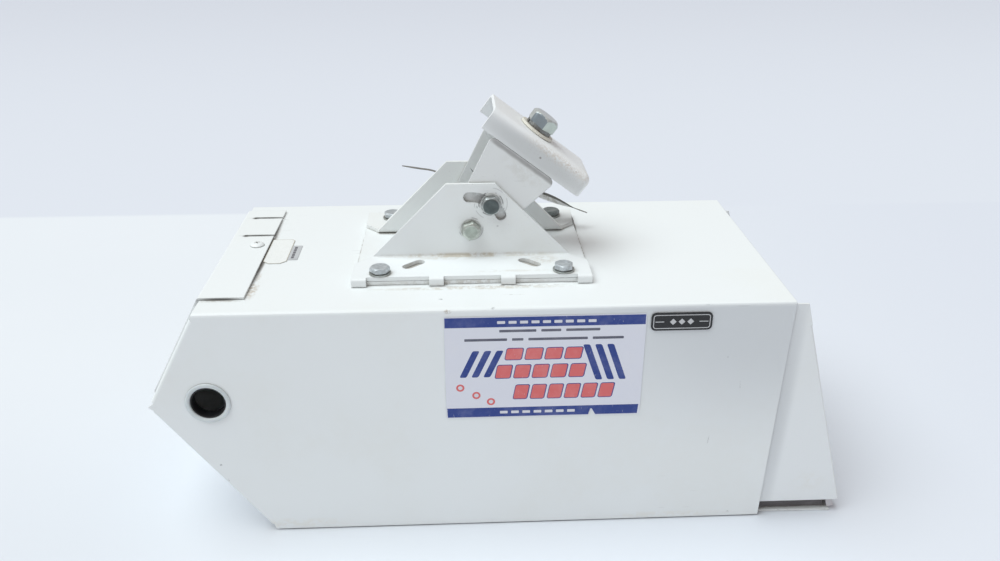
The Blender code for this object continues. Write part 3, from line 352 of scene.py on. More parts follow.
def print_ink(name, base, fade=0.22, film=0.32):
    """Ink or film of a printed label, slightly faded and rubbed."""
    r = Recipe(name)
    cloud = r.noise(70, 5, 0.65)
    colour = r.blend(r.span(cloud, 0.4, 0.72, 0, fade), base,
                     tuple(min(0.88, c + 0.28) for c in base))
    rubs = r.span(r.noise(900, 3, 0.6, stretch=(1, 1, 0.25)), 0.66, 0.72, 0, 0.5)
    colour = r.blend(rubs, colour, (0.72, 0.73, 0.78))
    r.relief([(r.noise(500, 2), 0.00003, 0.25)], 0)
    return r.finish(colour, r.span(cloud, 0.3, 0.7, film, film + 0.1))


def old_paper(name, base, spots):
    """Old paper label, blotched and dotted with spots."""
    r = Recipe(name)
    cloud = r.noise(140, 5, 0.7)
    colour = r.blend(r.span(cloud, 0.35, 0.7), base, tuple(c * 0.96 for c in base))
    dots = r.span(r.noise(1300, 1), 0.66, 0.72)
    colour = r.blend(r.times(dots, spots), colour, (0.5, 0.46, 0.38))
    r.relief([(cloud, 0.00005, 0.4)], 0)
    return r.finish(colour, 0.55)


# ---- mesh helpers

def place(name, data):
    """Put a new object of data in the scene."""
    made = bpy.data.objects.new(name, data)
    bpy.context.scene.collection.objects.link(made)
    return made


def mesh_object(name, bm, material):
    mesh = bpy.data.meshes.new(name)
    bm.to_mesh(mesh)
    bm.free()
    mesh.materials.append(material)
    return place(name, mesh)


def add(name, bm, material, body, angle=35, replaces=()):
    """Make a piece from bm and let it ride on a CAD body."""
    bmesh.ops.recalc_face_normals(bm, faces=bm.faces)
    made = mesh_object(name, bm, material)
    made.data.shade_smooth()
    made.data.set_sharp_from_angle(angle=radians(angle))
    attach(made, body)
    if replaces:
        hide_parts(*replaces)
    return made


def loft(bm, rings, capped=True, closed=False):
    """Skin a list of rings of points with the same count each."""
    rows = [[bm.verts.new(p) for p in ring] for ring in rings]
    pairs = list(zip(rows, rows[1:]))
    if closed:
        pairs.append((rows[-1], rows[0]))
    count = len(rows[0])
    for a, b in pairs:
        for k in range(count):
            bm.faces.new([a[k], a[(k + 1) % count], b[(k + 1) % count], b[k]])
    if capped and not closed:
        bm.faces.new(list(reversed(rows[0])))
        bm.faces.new(rows[-1])


def circle(radius, height, count):
    """radius is a number or a function of the angle."""
    points = []
    for k in range(count):
        a = 2 * pi * k / count
        reach = radius(a) if callable(radius) else radius
        points.append(Vector((reach * cos(a), reach * sin(a), height)))
    return points


def lathe(profile, count=72):
    """Circles from (radius, height) pairs."""
    return [circle(radius, height, count) for radius, height in profile]


def hexagon(across, limit):
    """Reach of a hexagon with a corner at angle 0, cut back to a circle of radius limit."""
    def reach(angle):
        turn = angle % (pi / 3) - pi / 6
        return min(across / 2 / cos(turn), limit)
    return reach


def frame_of(origin, axis, roll=0):
    """Matrix whose Z is axis, with X kept as near the row's X as can be."""
    z = Vector(axis).normalized()
    x = Vector((1, 0, 0))
    if abs(z.x) > 0.9:
        x = Vector((0, 0, -1))
    x = (x - z * x.dot(z)).normalized()
    y = z.cross(x)
    turned = Matrix((x, y, z)).transposed().to_4x4() @ Matrix.Rotation(roll, 4, "Z")
    turned.translation = Vector(origin)
    return turned


def thread(radius, pitch, start, end):
    """Rings of a V thread from start down to end, with a chamfered tip."""
    profile = []
    turns = int((start - end) / pitch)
    depth = pitch * 0.42
    for k in range(turns):
        level = start - k * pitch
        profile += [(radius, level - 0.15 * pitch), (radius - depth, level - 0.65 * pitch)]
    profile += [(radius - depth, end + 0.3 * pitch), (radius - 1.7 * depth, end)]
    return lathe(profile)


def bolt(node, body, material, across, head, shank, length, origin, axis, roll=0, plain=0.25):
    """Hex bolt with a chamfered head, a washer face and a threaded end, from under its head."""
    rise = head * 0.16
    bm = bmesh.new()
    flat = across / 2
    start = -length * plain
    sides = hexagon(across, flat * 1.16)
    rings = lathe([(flat * 0.62, head - 0.0001), (flat * 0.7, head), (flat * 0.86, head),
                   (hexagon(across, flat * 0.985), head - rise * 0.45),
                   (hexagon(across, flat * 1.06), head - rise * 0.9),
                   (sides, head - rise * 1.45), (sides, head * 0.1), (flat * 0.97, head * 0.09),
                   (flat * 0.97, 0), (shank * 1.04, 0), (shank, -0.0006), (shank, start)])
    rings += thread(shank, max(0.0009, shank * 0.26), start, -length)
    loft(bm, rings)
    bm.transform(frame_of(origin, axis, roll))
    add(f"{node}_hex", bm, material, body, 28, (node,))


def nut(node, body, material, across, height, bore, origin, axis, roll=0):
    """Hex nut with both faces chamfered and a threaded bore."""
    flat = across / 2
    rise = height * 0.12
    bm = bmesh.new()
    face, edge, sides = (hexagon(across, flat * share) for share in (0.96, 1.06, 1.16))
    profile = [(face, 0), (edge, rise * 0.5), (sides, rise), (sides, height - rise),
               (edge, height - rise * 0.5), (face, height), (bore * 1.14, height),
               (bore, height - bore * 0.12)]
    steps = 5
    for k in range(steps):
        share = (k + 0.5) / steps
        level = height - bore * 0.12 - share * (height - bore * 0.24)
        profile.append((bore * (1.06 if k % 2 else 1), level))
    profile += [(bore, bore * 0.12), (bore * 1.14, 0)]
    loft(bm, lathe(profile), capped=False, closed=True)
    bm.transform(frame_of(origin, axis, roll))
    add(f"{node}_hex", bm, material, body, 28, (node,))


def plate_of(bm, outline, depth, across, up, origin):
    """A flat closed outline of (a, b) points given depth along across x up."""
    a, b = Vector(across), Vector(up)
    normal = a.cross(b) * depth
    base = [bm.verts.new(Vector(origin) + a * u + b * v) for u, v in outline]
    top = [bm.verts.new(p.co + normal) for p in base]
    bm.faces.new(base)
    bm.faces.new(list(reversed(top)))
    count = len(base)
    for k in range(count):
        bm.faces.new([base[k], top[k], top[(k + 1) % count], base[(k + 1) % count]])


def rounded(u0, v0, u1, v1, radius, steps=5, slant=0):
    """Rounded rectangle outline; slant leans it along u per unit of v."""
    points = []
    for cu, cv, start in ((u1 - radius, v1 - radius, 0), (u0 + radius, v1 - radius, 90),
                          (u0 + radius, v0 + radius, 180), (u1 - radius, v0 + radius, 270)):
        for k in range(steps + 1):
            a = radians(start + 90 * k / steps)
            u, v = cu + radius * cos(a), cv + radius * sin(a)
            points.append((u + slant * (v - v0), v))
    return points


def frame_outline(bm, outer, inner, depth, across, up, origin):
    """A thin flat ring between two outlines with the same number of points."""
    a, b = Vector(across), Vector(up)
    normal = a.cross(b) * depth
    rings = []
    for outline, lift in ((outer, 0), (outer, 1), (inner, 1), (inner, 0)):
        rings.append([Vector(origin) + a * u + b * v + normal * lift for u, v in outline])
    loft(bm, rings, capped=False, closed=True)


# ---- camera, light, stage

def camera():
    data = bpy.data.cameras.new("camera")
    data.lens = 32.4
    data.sensor_width = 36
    data.clip_start = 0.01
    made = place("camera", data)
    made.location = (REAR + 0.1854, NEAR - 0.5566, 0.4627)
    made.rotation_euler = (radians(90 - 24.63), 0, radians(-2.64))
    bpy.context.scene.camera = made


def light(name, towards, spread, power, colour):
    """A broad soft lamp far above; towards points from the object to it."""
    data = bpy.data.lights.new(name, "SUN")
    data.angle = radians(spread)
    data.energy = power
    data.color = colour
    made = place(name, data)
    made.rotation_mode = "QUATERNION"
    made.rotation_quaternion = Vector(towards).to_track_quat("Z", "Y")


def studio():
    world = bpy.data.worlds.new("studio")
    bpy.context.scene.world = world
    world.use_nodes = True
    sky = world.node_tree.nodes["Background"]
    sky.inputs["Color"].default_value = (1, 0.92, 0.89, 1)
    sky.inputs["Strength"].default_value = 0.415
    light("overhead", (-0.42, -0.12, 1), 52, 2.52, (0.91, 0.985, 1))
    view = bpy.context.scene.view_settings
    view.view_transform = "Standard"
    view.look = "None"


def floor():
    """Pale table, painted darker towards its right and its near left corner as painted shade;
    beyond its far line the backdrop is a shade darker and darkens with distance as painted shade.
    """
    r = Recipe("table")
    cloud = r.noise(2.2)
    colour = r.blend(r.span(cloud, 0.3, 0.7), (0.792, 0.828, 0.872), (0.778, 0.815, 0.862))
    away = r.part("Y")
    # Painted shade: the table darkens towards its right.
    colour = r.blend(r.span(r.part("X"), -0.35, 0.75), colour, (0.7, 0.735, 0.812))
    # Painted shade: the backdrop darkens with distance.
    backdrop = r.blend(r.span(away, 0.6, 3.4), (0.715, 0.75, 0.822), (0.64, 0.668, 0.742))
    colour = r.blend(r.span(away, 0.59, 0.604), colour, backdrop)
    # Painted shade at the table's near left corner.
    corner = r.times(r.span(away, 0.18, -0.14), r.span(r.part("X"), -0.05, -0.34))
    colour = r.blend(corner, colour, (0.722, 0.758, 0.812))
    r.relief([(r.noise(260, 3), 0.0002, 0.15)], 0)
    material = r.finish(colour, 0.62)
    bm = bmesh.new()
    half = 7        # metres
    bmesh.ops.create_grid(bm, x_segments=8, y_segments=8, size=half)
    made = mesh_object("table", bm, material)
    made.location = (0, 0, cad_box[0].z - 0.0002)


# ---- finishes of the CAD nodes

NEAR_FACE_Y = HEAD_Y - 0.0295     # outer face of the near upright
FOOT_TOP = near_low.z + 0.0065    # top face of the brackets' feet
LIP_END = REAR + 0.0315           # free edge of the rear cover's lip
LIP_SLITS = [MIDDLE - 0.108 + 0.022 + at for at in (0.118, 0.159)]
TICK = (0.16, 0.16, 0.17)
# Near black painted shadow for the gaps under the rear cover's lip and in its slits.
GAP_SHADOW = (0.105, 0.1, 0.095)


def mark(centre, reach, *look):
    """A mark for paint(): centre in metres, reach in mm, then colour, strength, grain, lean."""
    return (centre, tuple(size * MM for size in reach), *look)


def on_side(along, height, reach_x, reach_z, *look, deep=2):
    """A mark on the near side, in mm from the floor's rear edge and from the table."""
    return mark((REAR + along * MM, NEAR, height * MM), (reach_x, deep, reach_z), *look)


def on_floor(along, across, reach_x, reach_y, *look):
    """A mark on the housing's floor, in mm from its rear edge and its middle."""
    return mark((REAR + along * MM, MIDDLE + across * MM, FLOOR), (reach_x, reach_y, 2), *look)


def at_base(x, y, z, reach, *look, line=HEAD_Y, level=FLOOR):
    """A mark in mm from the tilt axis along X, from a line across it and from a level."""
    return mark((PIVOT.x + x * MM, line + y * MM, level + z * MM), reach, *look)


def on_head(x, y, z):
    """A point given in the head's own leaning frame, about the tilt axis."""
    c, s = cos(TILT), sin(TILT)
    return PIVOT.x + x * c + z * s, HEAD_Y + y, PIVOT.z - x * s + z * c


def tilted(x, y, z, reach, *look):
    """A mark in mm in the head's own leaning frame."""
    return (*mark(on_head(x * MM, y * MM, z * MM), reach, *look), -TILT)


def dress(node, material):
    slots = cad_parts[node].data.materials
    slots.clear()
    slots.append(material)


def finish_housing():
    soil = (0.25, 0.21, 0.17)
    shell_marks = [
        on_side(4.7, 61.6, 1.4, 1.1, TICK, 0.7, 900),
        on_side(8.8, 47.9, 1.1, 1.6, TICK, 0.6, 900),
        on_side(20.5, 30, 1, 1.2, TICK, 0.4, 900),
        on_side(174.7, 184.2, 3.4, 2.2, (0.36, 0.29, 0.21), 0.8, 420, deep=3),
        on_side(206.2, 185.8, 2.2, 1, TICK, 0.7, 700, deep=4),
        on_side(357.5, 185.2, 4.2, 0.7, TICK, 0.55, 600, deep=3),
        on_side(382, 184, 6.8, 0.42, TICK, 0.75),
        on_side(375, 143.3, 0.8, 1.2, TICK, 0.6),
        on_side(386.6, 118.4, 0.7, 7.5, TICK, 0.35, 500, 0.08),
        on_side(367.5, 72.2, 0.6, 5.5, TICK, 0.35, 500, -0.1),
        on_side(389.1, 4.5, 1.6, 1.3, TICK, 0.7, 800),
        on_side(300, 112.5, 0.9, 0.9, TICK, 0.35),
        on_side(50, 6, 60, 6, CREAM, 0.35, 130),
        on_side(340, 4, 70, 4, CREAM, 0.3, 130),
        # Painted shade: the upper front of the near side is darker.
        on_side(405, 195, 210, 145, (0.65, 0.68, 0.705), 0.8),
        *(on_floor(*row) for row in (
            (34, -69, 5.2, 22, (0.46, 0.38, 0.28), 0.7, 240),
            (34.5, -48, 2.2, 10, (0.5, 0.43, 0.34), 0.45, 300),
            (34, 15, 1.8, 60, (0.52, 0.48, 0.4), 0.35, 300),
            (15, -88, 23, 2.2, (0.42, 0.38, 0.31), 0.45, 260),
            (192.8, -73.5, 93, 4, (0.5, 0.44, 0.34), 0.55, 190),
            (270, 2, 7.5, 65, (0.56, 0.52, 0.44), 0.25, 190),
            (170, -91.5, 2.2, 1.4, TICK, 0.7, 700),
            (222, -86, 10, 0.8, (0.45, 0.43, 0.4), 0.5, 500))),
        at_base(88, 0, 0, (1.3, 70, 2), soil, 0.85, 300),
        # A near black line by the far foot's right end: partly dirt, partly painted shadow in the
        # gap.
        at_base(88.2, 48, 0, (1.9, 23, 2), (0.07, 0.065, 0.06), 0.9),
        at_base(-87, 0, 0, (1.4, 66, 2), soil, 0.6, 260),
        at_base(20, -71.2, 0, (70, 1.2, 2), soil, 0.6, 210)]
    under = FLOOR + 0.0002
    cover_marks = [
        # Painted shadow of the gap under the lip's free edge and under its near edge.
        mark((LIP_END + 0.0004, MIDDLE + 0.004, under), (1.6, 120, 2.6), GAP_SHADOW, 0.92),
        mark((REAR + 0.014, NEAR + 0.0216, under), (24, 1.6, 2.6), GAP_SHADOW, 0.92)]
    for slit in LIP_SLITS:
        bulb = (LIP_END - 0.0225, slit - 0.0006, under + 0.0015)
        # Painted shadow along each slit, with a dark bulb as painted shade at its inner end.
        cover_marks += [
            mark((LIP_END - 0.012, slit, under), (24, 3.4, 3.2), GAP_SHADOW, 0.92),
            mark(bulb, (4.2, 3.4, 2), GAP_SHADOW, 0.95)]
        # Painted shade on the floor under each slit.
        shell_marks.append(
            mark((LIP_END - 0.0115, slit, FLOOR), (18, 3, 2), GAP_SHADOW, 0.85))
    # Painted shadow cast by the lip on the floor, along its free edge and its near edge.
    shell_marks += [
        mark((LIP_END + 0.0008, MIDDLE - 0.004, FLOOR), (2.6, 88, 2), (0.14, 0.125, 0.11),
             0.85),
        mark((REAR + 0.014, NEAR + 0.0215, FLOOR), (19, 1.4, 2), (0.2, 0.18, 0.16), 0.75)]
    dress("body_shell", paint("shell_paint", shell_marks, 0.4, 0.25, 0.25, painted_shade_inside=True))
    dress("rear_cover", paint("cover_paint", cover_marks, 0.35, 0.2, 0.2, seed=11))
    hood_marks = [
        # Painted shadow of the near side's front edge on the hood's cheek.
        on_side(421.2, 93, 9.5, 170, (0.6, 0.625, 0.645), 0.6, 0, -0.038, deep=6),
        on_side(440, 150, 1, 3, TICK, 0.3, 500, 0.2, deep=4),
        on_side(450, 30, 20, 15, CREAM, 0.25, 130, deep=4)]
    dress("front_hood", paint("hood_paint", hood_marks, 0.4, 0.3, 0.3, seed=23,
                              base=(0.862, 0.896, 0.912)))
    dress("roof_lid", paint("roof_paint", (), 0.6, 0.8, 0.5, seed=31))


def finish_base():
    slots = (-43.5, 43.5)
    # Darker, browner plate under the near foot's slots: partly dirt, partly painted shade.
    plate_marks = [at_base(x, -44.5, 3.3, (15, 15, 2.2), (0.4, 0.37, 0.325), 0.85)
                   for x in slots]
    plate_marks.append(at_base(0, -67.5, 1.5, (90, 2, 3), (0.46, 0.42, 0.36), 0.45, 170))
    dress("base_plate", paint("plate_paint", plate_marks, 0.6, 0.35, 0.45, seed=41))
    fold = {"line": NEAR_FACE_Y, "level": FOOT_TOP}
    face = {"line": NEAR_FACE_Y, "level": PIVOT.z}
    near_marks = [
        at_base(0, -1.2, 0.4, (86, 3.2, 2.6), (0.56, 0.51, 0.41), 0.8, 90, **fold),
        at_base(-20, -4, 0, (40, 5, 3), (0.58, 0.53, 0.44), 0.35, 170, **fold),
        at_base(55, -10, 0, (18, 11, 3), (0.55, 0.5, 0.42), 0.45, 150, **fold),
        at_base(30, -30, 0, (40, 3, 3), (0.6, 0.57, 0.5), 0.35, 150, **fold),
        at_base(20, 0, 2, (1.2, 3, 0.9), TICK, 0.35, **face)]
    # Painted shade on the walls of the arc slot.
    for angle in (92, 78, 64, 50, 38, 26):
        a = radians(angle)
        near_marks.append(at_base(25 * cos(a), 1.8, 25 * sin(a), (6.2, 1.7, 6.2),
                                  (0.13, 0.12, 0.12), 0.85, **face))
    near_marks += [at_base(x, -44.5, -1.8, (11.5, 11.5, 1.7), (0.44, 0.39, 0.33), 0.35, 260,
                           level=FOOT_TOP) for x in slots]
    near_marks += [at_base(x, -60, 0, (12.5, 11.5, 2), (0.5, 0.42, 0.31), 0.6, 330,
                           level=FOOT_TOP) for x in (-66.5, 68.5)]
    lock = on_head(0, -0.0295, 0.025)
    pivot = (PIVOT.x, NEAR_FACE_Y, PIVOT.z)
    rub = (0.19, 0.19, 0.2)
    near_rings = [(lock, 0.009, 0.0006, rub, 0.75, 160), (lock, 0.0107, 0.0005, rub, 0.6, 130),
                  (lock, 0.0123, 0.0005, (0.42, 0.43, 0.43), 0.4, 110),
                  (pivot, 0.0089, 0.0006, rub, 0.45, 120)]
    dress("near_bracket", paint("near_bracket_paint", near_marks, 0.55, 0.4, 0.55, seed=53,
                                rings=near_rings))
    far_marks = [
        at_base(0, -41, 1, (74, 4, 3.4), (0.42, 0.38, 0.31), 0.55, 150,
                line=far_high.y, level=FOOT_TOP),
        # Painted shadow on the far foot's right end, and a near black painted shadow line in the
        # gap at its end.
        mark((far_high.x - 0.01, far_low.y + 0.018, FOOT_TOP), (26, 24, 4),
             (0.42, 0.43, 0.43), 0.7),
        mark((far_high.x, far_low.y + 0.015, FOOT_TOP - 0.001), (1.7, 15, 4),
             (0.06, 0.06, 0.06), 0.9)]
    # The far bracket's paint is a shade darker than the other white, as painted shade.
    dress("far_bracket", paint("far_bracket_paint", far_marks, 0.6, 0.4, 0.5, seed=61,
                               base=(0.845, 0.875, 0.875)))


def finish_head():
    shade = (0.3, 0.295, 0.29)
    clevis_marks = [
        mark(on_head(-0.0155, 0.0233, 0.0245), (4, 1.2, 0.55), (0.1, 0.11, 0.11), 0.9, 0,
             -0.94),
        tilted(6, -26.1, 58, (26, 4, 10), (0.6, 0.59, 0.55), 0.3, 170)]
    # Painted shadow under the cap's flange, along the clevis's top bend.
    clevis_marks += [tilted(along, -25.7, 64.4, (12, 5, 3), shade, 0.8, 0)
                     for along in (-22, -10, 2, 14, 26)]
    clevis_marks.append(tilted(-4, -26.1, 23, (16, 1.2, 8), shade, 0.55, 260))
    dress("clevis", paint("clevis_paint", clevis_marks, 0.45, 0.35, 0.45, seed=71,
                          base=(0.79, 0.815, 0.82), rounding=0.0012))
    speck, rust = (0.3, 0.26, 0.22), (0.4, 0.27, 0.17)
    cap_marks = [tilted(*row) for row in (
        # Painted shade over the whole near flange.
        (6, -26.5, 73.5, (90, 4, 13.5), (0.6, 0.62, 0.625), 0.9, 0),
        (20, -23.5, 81.5, (40, 6, 5), speck, 0.95, 1150),
        (20, -23, 80.5, (40, 7, 5), (0.6, 0.54, 0.47), 0.55, 480),
        (4, -26.1, 77, (34, 4, 7), speck, 0.85, 1500),
        (36, -26.1, 74.5, (22, 4, 10), speck, 0.85, 1400),
        (46, -18, 80, (12, 14, 8), (0.62, 0.55, 0.47), 0.45, 420),
        (49, 0, 76, (8, 28, 12), (0.62, 0.56, 0.49), 0.4, 420),
        (-30, -24, 82.5, (9, 5, 3), speck, 0.4, 1300),
        (12, 0, 84.2, (40, 24, 3), (0.6, 0.58, 0.54), 0.25, 1100),
        (0, 0, 84.2, (16.5, 16.5, 3), (0.6, 0.55, 0.46), 0.5, 420),
        (9, -26.1, 74.2, (1.3, 4, 1.1), (0.22, 0.2, 0.19), 0.8, 0),
        (30, -24, 81.8, (2, 4, 1), rust, 0.7, 900),
        (38, -24, 81.2, (1.4, 4, 0.9), rust, 0.7, 900))]
    # The cap's paint is lighter than the other white, as painted light on its top.
    cap(paint("cap_paint", cap_marks, 0.5, 1, 0.45, seed=83, base=(0.93, 0.962, 0.985)))


def finish_fittings():
    dull = zinc("zinc_plate")
    for number in range(1, 5):
        dress(f"base_washer_{number}", dull)
    dress("pivot_washer", zinc("pale_zinc", (0.66, 0.68, 0.65), 0.15, seed=22))
    for node in ("window_clip_near", "window_clip_far", "camera_screw"):
        dress(node, dull)
    dress("cover_screw", paint("screw_paint", (), 0.9, 0.3, 0.35, seed=97))
    dress("lock_washer", zinc("bright_zinc", (0.7, 0.72, 0.71), 0.2))
    # The spring washer's zinc is darkened as painted shade in the gap under the bolt head.
    dress("swivel_lock_washer", zinc("shaded_spring_zinc", (0.26, 0.27, 0.27), 0.8, seed=4))
    dress("swivel_washer", paint("washer_paint", (), 0.7, 0.5, 0.4, seed=9,
                                 base=(0.78, 0.755, 0.675)))
    sheet = galvanised("galvanised_sheet")
    for node in ("sled_rail_near", "sled_rail_far", "camera_sled"):
        dress(node, sheet)
    rubber = sponge("sponge_rubber")
    for node in ("window_gasket", "hood_seal_far", "hood_seal_front"):
        dress(node, rubber)
    dress("hood_seal_near", sponge("faded_sponge", (0.15, 0.142, 0.146), (0.25, 0.24, 0.245)))
    dress("window_glass", pane("clear_pane"))
    dress("heater", alloy("anodised_alloy"))
    dress("thermostat", moulded("phenolic", (0.03, 0.026, 0.024), 0.42))
    dress("terminal_block", moulded("ivory_moulding", (0.72, 0.69, 0.6), 0.42))
    dress("name_plate", moulded("black_enamel", (0.012, 0.012, 0.014), 0.28, corner_darkening=0))


# The head's levels above the tilt axis, in its own frame, and what lies between them
CLEVIS_TOP = 0.0663
CAP_TOP = 0.0842
SHEET = 0.0028
GAP = 0.0003
WASHER = 0.002
LOCK_WASHER = 0.0028


def cap(material):
    """The swivelling channel, pressed from one sheet with wide soft bends and a closed front."""
    rear, foot = -0.0394, CLEVIS_TOP + GAP
    half_width, front_face, bend = 0.0261, 0.0525, 0.007
    steps = 8

    def row(height, half, front, radius):
        """Round the near side, the front and the far side at one height."""
        points = [Vector((rear, -half, height))]
        for side, start in ((-1, -90), (1, 0)):
            for k in range(steps + 1):
                a = radians(start + 90 * k / steps)
                points.append(Vector((front - radius + radius * cos(a),
                                      side * (half - radius) + radius * sin(a), height)))
        points.append(Vector((rear, half, height)))
        return points

    def skin(half, front, top, radius):
        rows = [row(foot, half, front, radius)]
        for k in range(steps + 1):
            a = radians(90 * k / steps)
            inset = radius * (1 - cos(a))
            rows.append(row(top - radius + radius * sin(a), half - inset, front - inset,
                            max(radius - inset, 0.00002)))
        return [[bm.verts.new(point) for point in line] for line in rows]

    def strip(one, other):
        for k in range(last):
            bm.faces.new([one[k], one[k + 1], other[k + 1], other[k]])

    bm = bmesh.new()
    outer = skin(half_width, front_face, CAP_TOP, bend)
    inner = skin(half_width - SHEET, front_face - SHEET, CAP_TOP - SHEET, bend - SHEET)
    last = len(outer[0]) - 1
    for rows in (outer, inner):
        for lower, upper in zip(rows, rows[1:]):
            strip(lower, upper)
        bm.faces.new(rows[-1])
    strip(outer[0], inner[0])
    for k in (0, last):
        for j in range(len(outer) - 1):
            bm.faces.new([outer[j][k], outer[j + 1][k], inner[j + 1][k], inner[j][k]])
    bm.faces.new([outer[-1][0], outer[-1][last], inner[-1][last], inner[-1][0]])
    turned = Matrix.Rotation(TILT, 4, "Y")
    turned.translation = (PIVOT.x, HEAD_Y, PIVOT.z)
    bm.transform(turned)
    add("pressed_cap", bm, material, "swivel_cap", 40, ("swivel_cap",))


# ---- fasteners

def upright_bolts():
    cap_zinc = zinc("base_bolt_zinc", (0.62, 0.67, 0.7), 0.4, seed=2, shine=0.55)
    # Darker zinc as painted shade, for the far right bolt that lies in shadow.
    shaded_zinc = zinc("shaded_bolt_zinc", (0.235, 0.262, 0.262), 0.6, seed=3, shine=0.45)
    nut_zinc = zinc("nut_zinc", (0.5, 0.52, 0.5), 0.6, seed=6)
    rolls = (8, 21, 40, 52)
    for number, roll in enumerate(rolls, 1):
        low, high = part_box(f"base_bolt_{number}")
        centre = (low + high) / 2
        head = 0.0042
        material = shaded_zinc if centre.x > PIVOT.x and centre.y > HEAD_Y else cap_zinc
        bolt(f"base_bolt_{number}", "housing", material, 0.013, head, 0.0047,
             high.z - head - low.z, (centre.x, centre.y, high.z - head), (0, 0, 1),
             radians(roll))
        low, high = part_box(f"base_nut_{number}")
        nut(f"base_nut_{number}", "housing", nut_zinc, 0.013, high.z - low.z, 0.005,
            (centre.x, centre.y, low.z), (0, 0, 1), radians(roll + 17))


def tilt_bolts():
    low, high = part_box("pivot_bolt")
    end = (PIVOT.x, low.y, PIVOT.z)
    green = zinc("pivot_zinc", (0.6, 0.64, 0.59), 0.4, seed=12,
                 face=(end, (0.005, 0.0012, 0.005), (0.36, 0.41, 0.36), 0.6))
    low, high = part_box("lock_nut")
    centre = (low + high) / 2
    low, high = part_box("lock_bolt")
    end = (centre.x, low.y, centre.z)
    # The top of the lock bolt's head is painted near black, as painted shade.
    dark = zinc("lock_zinc", (0.5, 0.53, 0.53), 0.5, seed=14,
                face=(end, (0.0068, 0.0012, 0.0068), (0.08, 0.1, 0.1), 0.88))
    nut_zinc = zinc("tilt_nut_zinc", (0.48, 0.5, 0.48), 0.6, seed=16)
    for stem, body, material, roll in (("pivot", "housing", green, 20),
                                       ("lock", "clevis", dark, 4)):
        low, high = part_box(f"{stem}_bolt")
        nut_low, nut_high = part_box(f"{stem}_nut")
        centre = (nut_low + nut_high) / 2
        head = 0.0053
        shank = 0.0039 if stem == "pivot" else 0.0038
        bolt(f"{stem}_bolt", body, material, 0.0127, head, shank,
             high.y - low.y - head, (centre.x, low.y + head, centre.z), (0, -1, 0),
             radians(roll), plain=0.8)
        nut(f"{stem}_nut", body, nut_zinc, 0.0127, nut_high.y - nut_low.y,
            shank + 0.0003, (centre.x, nut_low.y, centre.z), (0, 1, 0), radians(roll + 9))


def swivel_bolts():
    """The half-inch bolt through the cap and its nut inside the clevis."""
    lean = Matrix.Rotation(TILT, 3, "Y")
    corner = radians(31 - 120)
    # Painted shade on one side face of the hex head, painted light on the other side face and on
    # its top.
    painted_facet_shading = [(lean @ Vector((cos(corner + side), sin(corner + side), 0)), tone, 0.9)
              for side, tone in ((-radians(30), (0.215, 0.255, 0.29)),
                                 (radians(30), (0.6, 0.67, 0.63)))]
    painted_facet_shading.append((lean @ Vector((0, 0, 1)), (0.8, 0.86, 0.92), 0.6))
    grey = zinc("swivel_zinc", (0.66, 0.7, 0.69), 0.5, seed=18, shine=0.6, painted_facet_shading=painted_facet_shading)
    axis = Vector((sin(TILT), 0, cos(TILT)))
    top = CAP_TOP + 3 * GAP + WASHER + LOCK_WASHER - 0.0014
    bolt("swivel_bolt", "clevis", grey, 0.0206, 0.0102, 0.0063, 0.0426, on_head(0, 0, top), axis,
         radians(31), plain=0.3)
    under = CLEVIS_TOP - SHEET - GAP
    height = 0.0105
    nut("swivel_nut", "clevis", zinc("swivel_nut_zinc", seed=20), 0.019, height, 0.0066,
        on_head(0, 0, under - height), axis, radians(22))


# ---- small pieces

def bushing():
    """Snap bushing with a rounded flange, a stepped lip and four snap fingers behind the sheet."""
    low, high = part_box("side_bushing")
    centre = Vector(((low.x + high.x) / 2, NEAR, (low.z + high.z) / 2))
    flange = (high.x - low.x) / 2
    face = NEAR - low.y
    bore = 0.0126
    profile = [(flange, 0.0003), (flange, face * 0.45), (flange - 0.0003, face * 0.75),
               (flange - 0.0009, face * 0.96), (flange - 0.0016, face), (bore + 0.0014, face),
               (bore + 0.0006, face * 0.85), (bore + 0.0002, face * 0.5), (bore, 0),
               (bore, -0.0078), (bore + 0.0006, -0.008), (0.0136, -0.008), (0.0136, 0.0003)]
    bm = bmesh.new()
    loft(bm, lathe(profile, 96), False, True)
    claw = ((0.0134, -0.0021), (0.0146, -0.0022), (0.0137, -0.0066), (0.0134, -0.0066))
    for k in range(4):
        start = radians(90 * k + 33)
        rings = []
        for step in range(7):
            a = start + radians(24) * step / 6
            spot = Vector((cos(a), sin(a), 0))
            rings.append([spot * reach + Vector((0, 0, level)) for reach, level in claw])
        loft(bm, rings)
    bm.transform(frame_of(centre, (0, -1, 0)))
    nylon = moulded("white_moulding", (0.74, 0.77, 0.775), 0.3, corner_darkening=0.35,
                    Subsurface_Weight=0.08)
    add("snap_bushing", bm, nylon, "housing", 40, ("side_bushing",))
    # A black sleeve lines the bore, as painted shade inside it.
    bm = bmesh.new()
    profile = [(bore - 0.0002, face * 0.3), (bore - 0.0002, -0.0076), (bore - 0.0009, -0.0078),
               (bore - 0.001, face * 0.1)]
    loft(bm, lathe(profile, 96), False, True)
    bm.transform(frame_of(centre, (0, -1, 0)))
    add("bore_shade_sleeve", bm, moulded("black_moulding", (0.012, 0.012, 0.014), 0.55, corner_darkening=0),
        "housing", 40, ())


